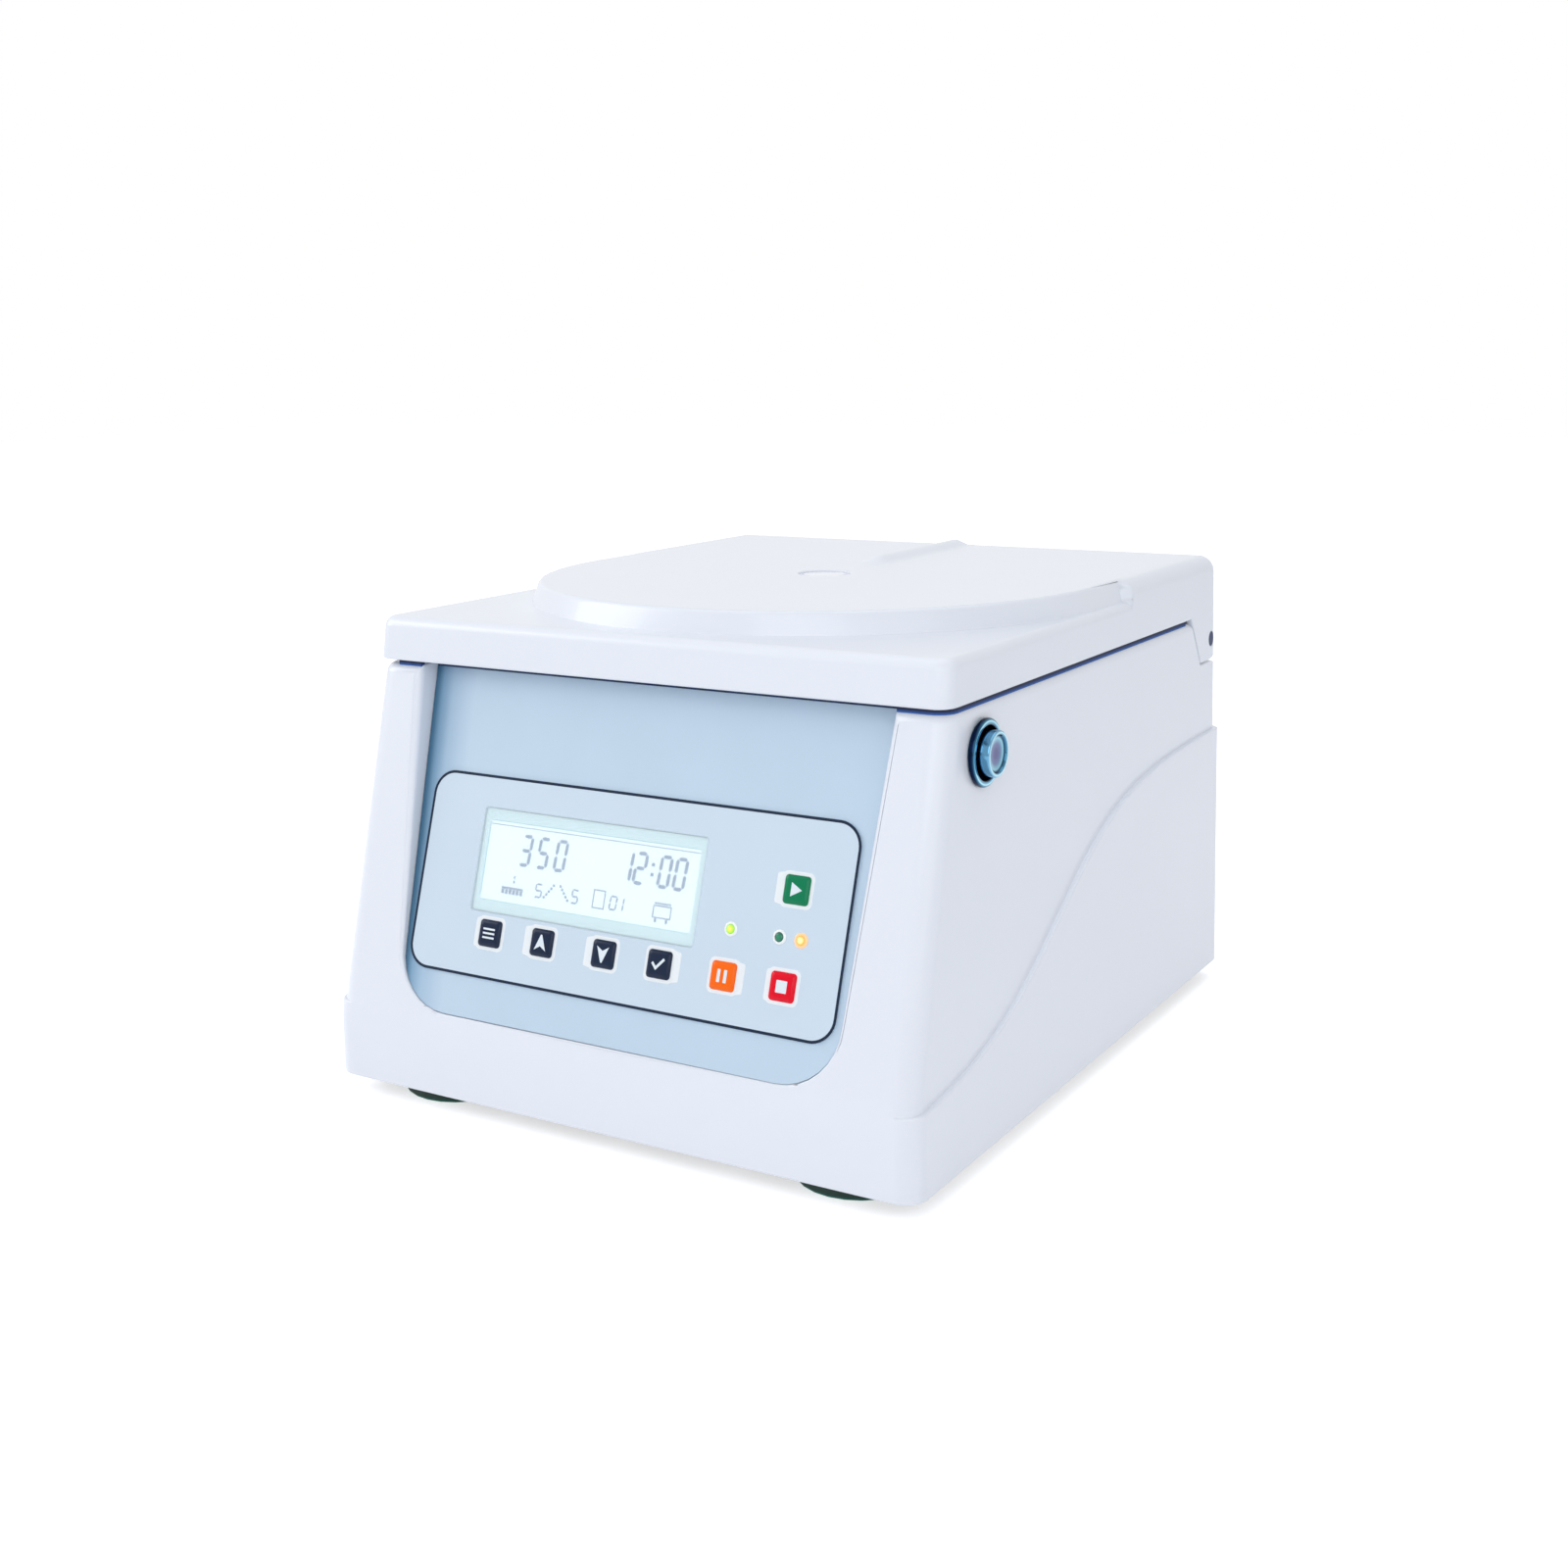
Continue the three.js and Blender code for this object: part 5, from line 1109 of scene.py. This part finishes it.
# Angled louvre blades behind the vent's slots
louvre = {"slots": 7, "height": 46, "y": 171.4, "tip": 50, "half": (42.5, 2.6), "halfThick": 0.4}
bladeOutline = roundedSquare(*louvre["half"], 0.3, steps=2)
blade = plateMesh([bladeOutline], -louvre["halfThick"], louvre["halfThick"], atOrigin)
slotStep = louvre["height"] / louvre["slots"]
slotPlaces = [
    (vent["x"], louvre["y"], vent["z"] - louvre["height"] / 2 + slotStep * (k + 0.5))
    for k in range(louvre["slots"])
]
repeated("ventLouvres", blade, slotPlaces, louvre["tip"], "case", blackPlastic)

# Plain on and off signs on the rocker, each on its own slanted half
rocker = {
    "x": -38.0,
    "pivotY": 173.6,
    "pivotZ": 63.0,
    "tilt": 8.0,
    "waist": 2.8,
    "peak": 4.2,
    "half": 10.2,
    "signUp": 5.4,
    "signHeights": (-0.1, 0.07),
    "bar": (0.35, 1.7, 0.1),
    "circle": (1.7, 1.1),
}
climb = rocker["peak"] - rocker["waist"]
slope = math.atan2(climb, rocker["half"])
signOut = rocker["waist"] + climb * rocker["signUp"] / rocker["half"]
pivot = Matrix.Translation(Vector((rocker["x"], rocker["pivotY"], rocker["pivotZ"])) * mm)
rockerFrame = centreFrame @ pivot @ Matrix.Rotation(math.radians(rocker["tilt"]), 4, "X")


def rockerSignPlace(side):
    seat = Matrix.Translation((0, signOut * mm, side * rocker["signUp"] * mm))
    return rockerFrame @ seat @ Matrix.Rotation(-side * slope, 4, "X") @ backTurn


onBar = roundedSquare(*rocker["bar"], steps=2)
offOuter, offInner = (roundedSquare(size, size, size - 0.01) for size in rocker["circle"])
rockerSigns = {
    "rockerOn": plateMesh([onBar], *rocker["signHeights"], rockerSignPlace(1)),
    "rockerOff": ringMesh(offOuter, offInner, *rocker["signHeights"], rockerSignPlace(-1)),
}
for name, mesh in rockerSigns.items():
    piece(name, mesh, "rocker", keySymbol, smoothBelow=0)

# Plated blades in the mains inlet
blades = {"half": (1.06, 2.06), "from": 158, "to": 171.75, "at": ((91, 63), (84, 66.5), (77, 63))}
contacts = [roundedSquare(*blades["half"], 0.3, x, z, steps=2) for x, z in blades["at"]]
contactMesh = plateMesh(contacts, blades["from"], blades["to"], centreFrame @ backTurn)
piece("inletBlades", contactMesh, "case", brass, smoothBelow=0)
print("rear details ready")


# Studio: a pale floor, soft lamps and a surround that is plain white where the camera sees it.
# This gives 1 for what the camera sees, also in mirrors and through plastic, and 0 for light
def seenByCamera(tree):
    rays = addNode(tree, "ShaderNodeLightPath").outputs
    seen = rays["Is Camera Ray"]
    for kind in ("Is Glossy Ray", "Is Transmission Ray"):
        either = {"operation": "MAXIMUM"}
        seen = addNode(tree, "ShaderNodeMath", either, _0=seen, _1=rays[kind]).outputs[0]
    return seen


studio = {
    "floorHalf": 6.0,
    "floor": "#f4f5f8",
    "floorRoughness": 0.9,
    "floorShine": 0.1,
    "lift": 0.6,
    "white": "#ffffff",
    "ambient": 0.5,
    "ambientTint": "#f6f9ff",
}
world = bpy.data.worlds.new("studioWorld")
scene.world = world
world.use_nodes = True
tree = world.node_tree
tree.nodes.clear()
ambientLook = {"Color": colour(studio["ambientTint"]), "Strength": studio["ambient"]}
ambient = addNode(tree, "ShaderNodeBackground", ambientLook)
surroundLook = {"Color": colour(studio["white"]), "Strength": 1.0}
surround = addNode(tree, "ShaderNodeBackground", surroundLook)
blend = addNode(
    tree,
    "ShaderNodeMixShader",
    _0=seenByCamera(tree),
    _1=ambient.outputs[0],
    _2=surround.outputs[0],
)
addNode(tree, "ShaderNodeOutputWorld", _0=blend.outputs[0])

half = studio["floorHalf"]
floorPoints = [(-half, -half, 0), (half, -half, 0), (half, half, 0), (-half, half, 0)]
floorMesh = meshOf(floorPoints, [(0, 1, 2, 3)], atOrigin, welded=False)
floor = bpy.data.objects.new("floor", floorMesh)
scene.collection.objects.link(floor)
floorPaint = bpy.data.materials.new("floorPaint")
floorPaint.use_nodes = True
tree = floorPaint.node_tree
shader = tree.nodes["Principled BSDF"]
shader.inputs["Base Color"].default_value = colour(studio["floor"])
shader.inputs["Roughness"].default_value = studio["floorRoughness"]
shader.inputs["Specular IOR Level"].default_value = studio["floorShine"]
shader.inputs["Emission Color"].default_value = colour(studio["white"])
share = {"operation": "MULTIPLY", "_1": studio["lift"]}
lift = addNode(tree, "ShaderNodeMath", share, _0=seenByCamera(tree))
tree.links.new(lift.outputs[0], shader.inputs["Emission Strength"])
floorMesh.materials.append(floorPaint)

lamps = {
    "keyLamp": {"at": (0.7, -1.95, 1.15), "size": 1.2, "power": 10.0, "tint": "#fbfdff"},
    "topLamp": {"at": (0.1, 0.3, 2.1), "size": 2.0, "power": 10.3, "tint": "#fbfdff"},
    "sideLamp": {"at": (1.5, -1.1, 0.8), "size": 1.2, "power": 4.8, "tint": "#fffdf8"},
    "leftLamp": {"at": (-1.9, -0.9, 1.25), "size": 1.4, "power": 18, "tint": "#fffefc"},
}
lampTarget = Vector((0, 0, 0.12))
for name, lamp in lamps.items():
    data = bpy.data.lights.new(name, "AREA")
    data.shape = "SQUARE"
    data.size = lamp["size"]
    data.energy = lamp["power"]
    data.color = colour(lamp["tint"])[:3]
    obj = bpy.data.objects.new(name, data)
    obj.location = lamp["at"]
    aim = lampTarget - Vector(lamp["at"])
    obj.rotation_euler = aim.to_track_quat("-Z", "Y").to_euler()
    scene.collection.objects.link(obj)

# Camera at the photograph's angle; the place is in millimetres, the focal length in pixels
cameraPlan = {
    "at": (462.01, -792.08, 335.54),
    "yaw": 31.018,
    "pitch": 12.896,
    "roll": -0.758,
    "focal": 1962.59,
    "imageWidth": 1600,
    "sensor": 36.0,
}
yaw, pitch, roll = (math.radians(cameraPlan[k]) for k in ("yaw", "pitch", "roll"))
forward = Vector(
    (-math.sin(yaw) * math.cos(pitch), math.cos(yaw) * math.cos(pitch), -math.sin(pitch))
)
level = Vector((math.cos(yaw), math.sin(yaw), 0))
upright = level.cross(forward)
right = math.cos(roll) * level + math.sin(roll) * upright
upward = -math.sin(roll) * level + math.cos(roll) * upright
data = bpy.data.cameras.new("photoCamera")
data.sensor_fit = "HORIZONTAL"
data.sensor_width = cameraPlan["sensor"]
data.lens = cameraPlan["sensor"] * cameraPlan["focal"] / cameraPlan["imageWidth"]
data.clip_start = 0.01
camera = bpy.data.objects.new("photoCamera", data)
scene.collection.objects.link(camera)
position = Vector(cameraPlan["at"]) * mm + Vector((machine["shiftX"], 0, 0))
rows = zip(right, upward, -forward, position)
camera.matrix_world = Matrix((*rows, (0, 0, 0, 1)))
scene.camera = camera
scene.view_settings.view_transform = "Standard"
print("studio ready")
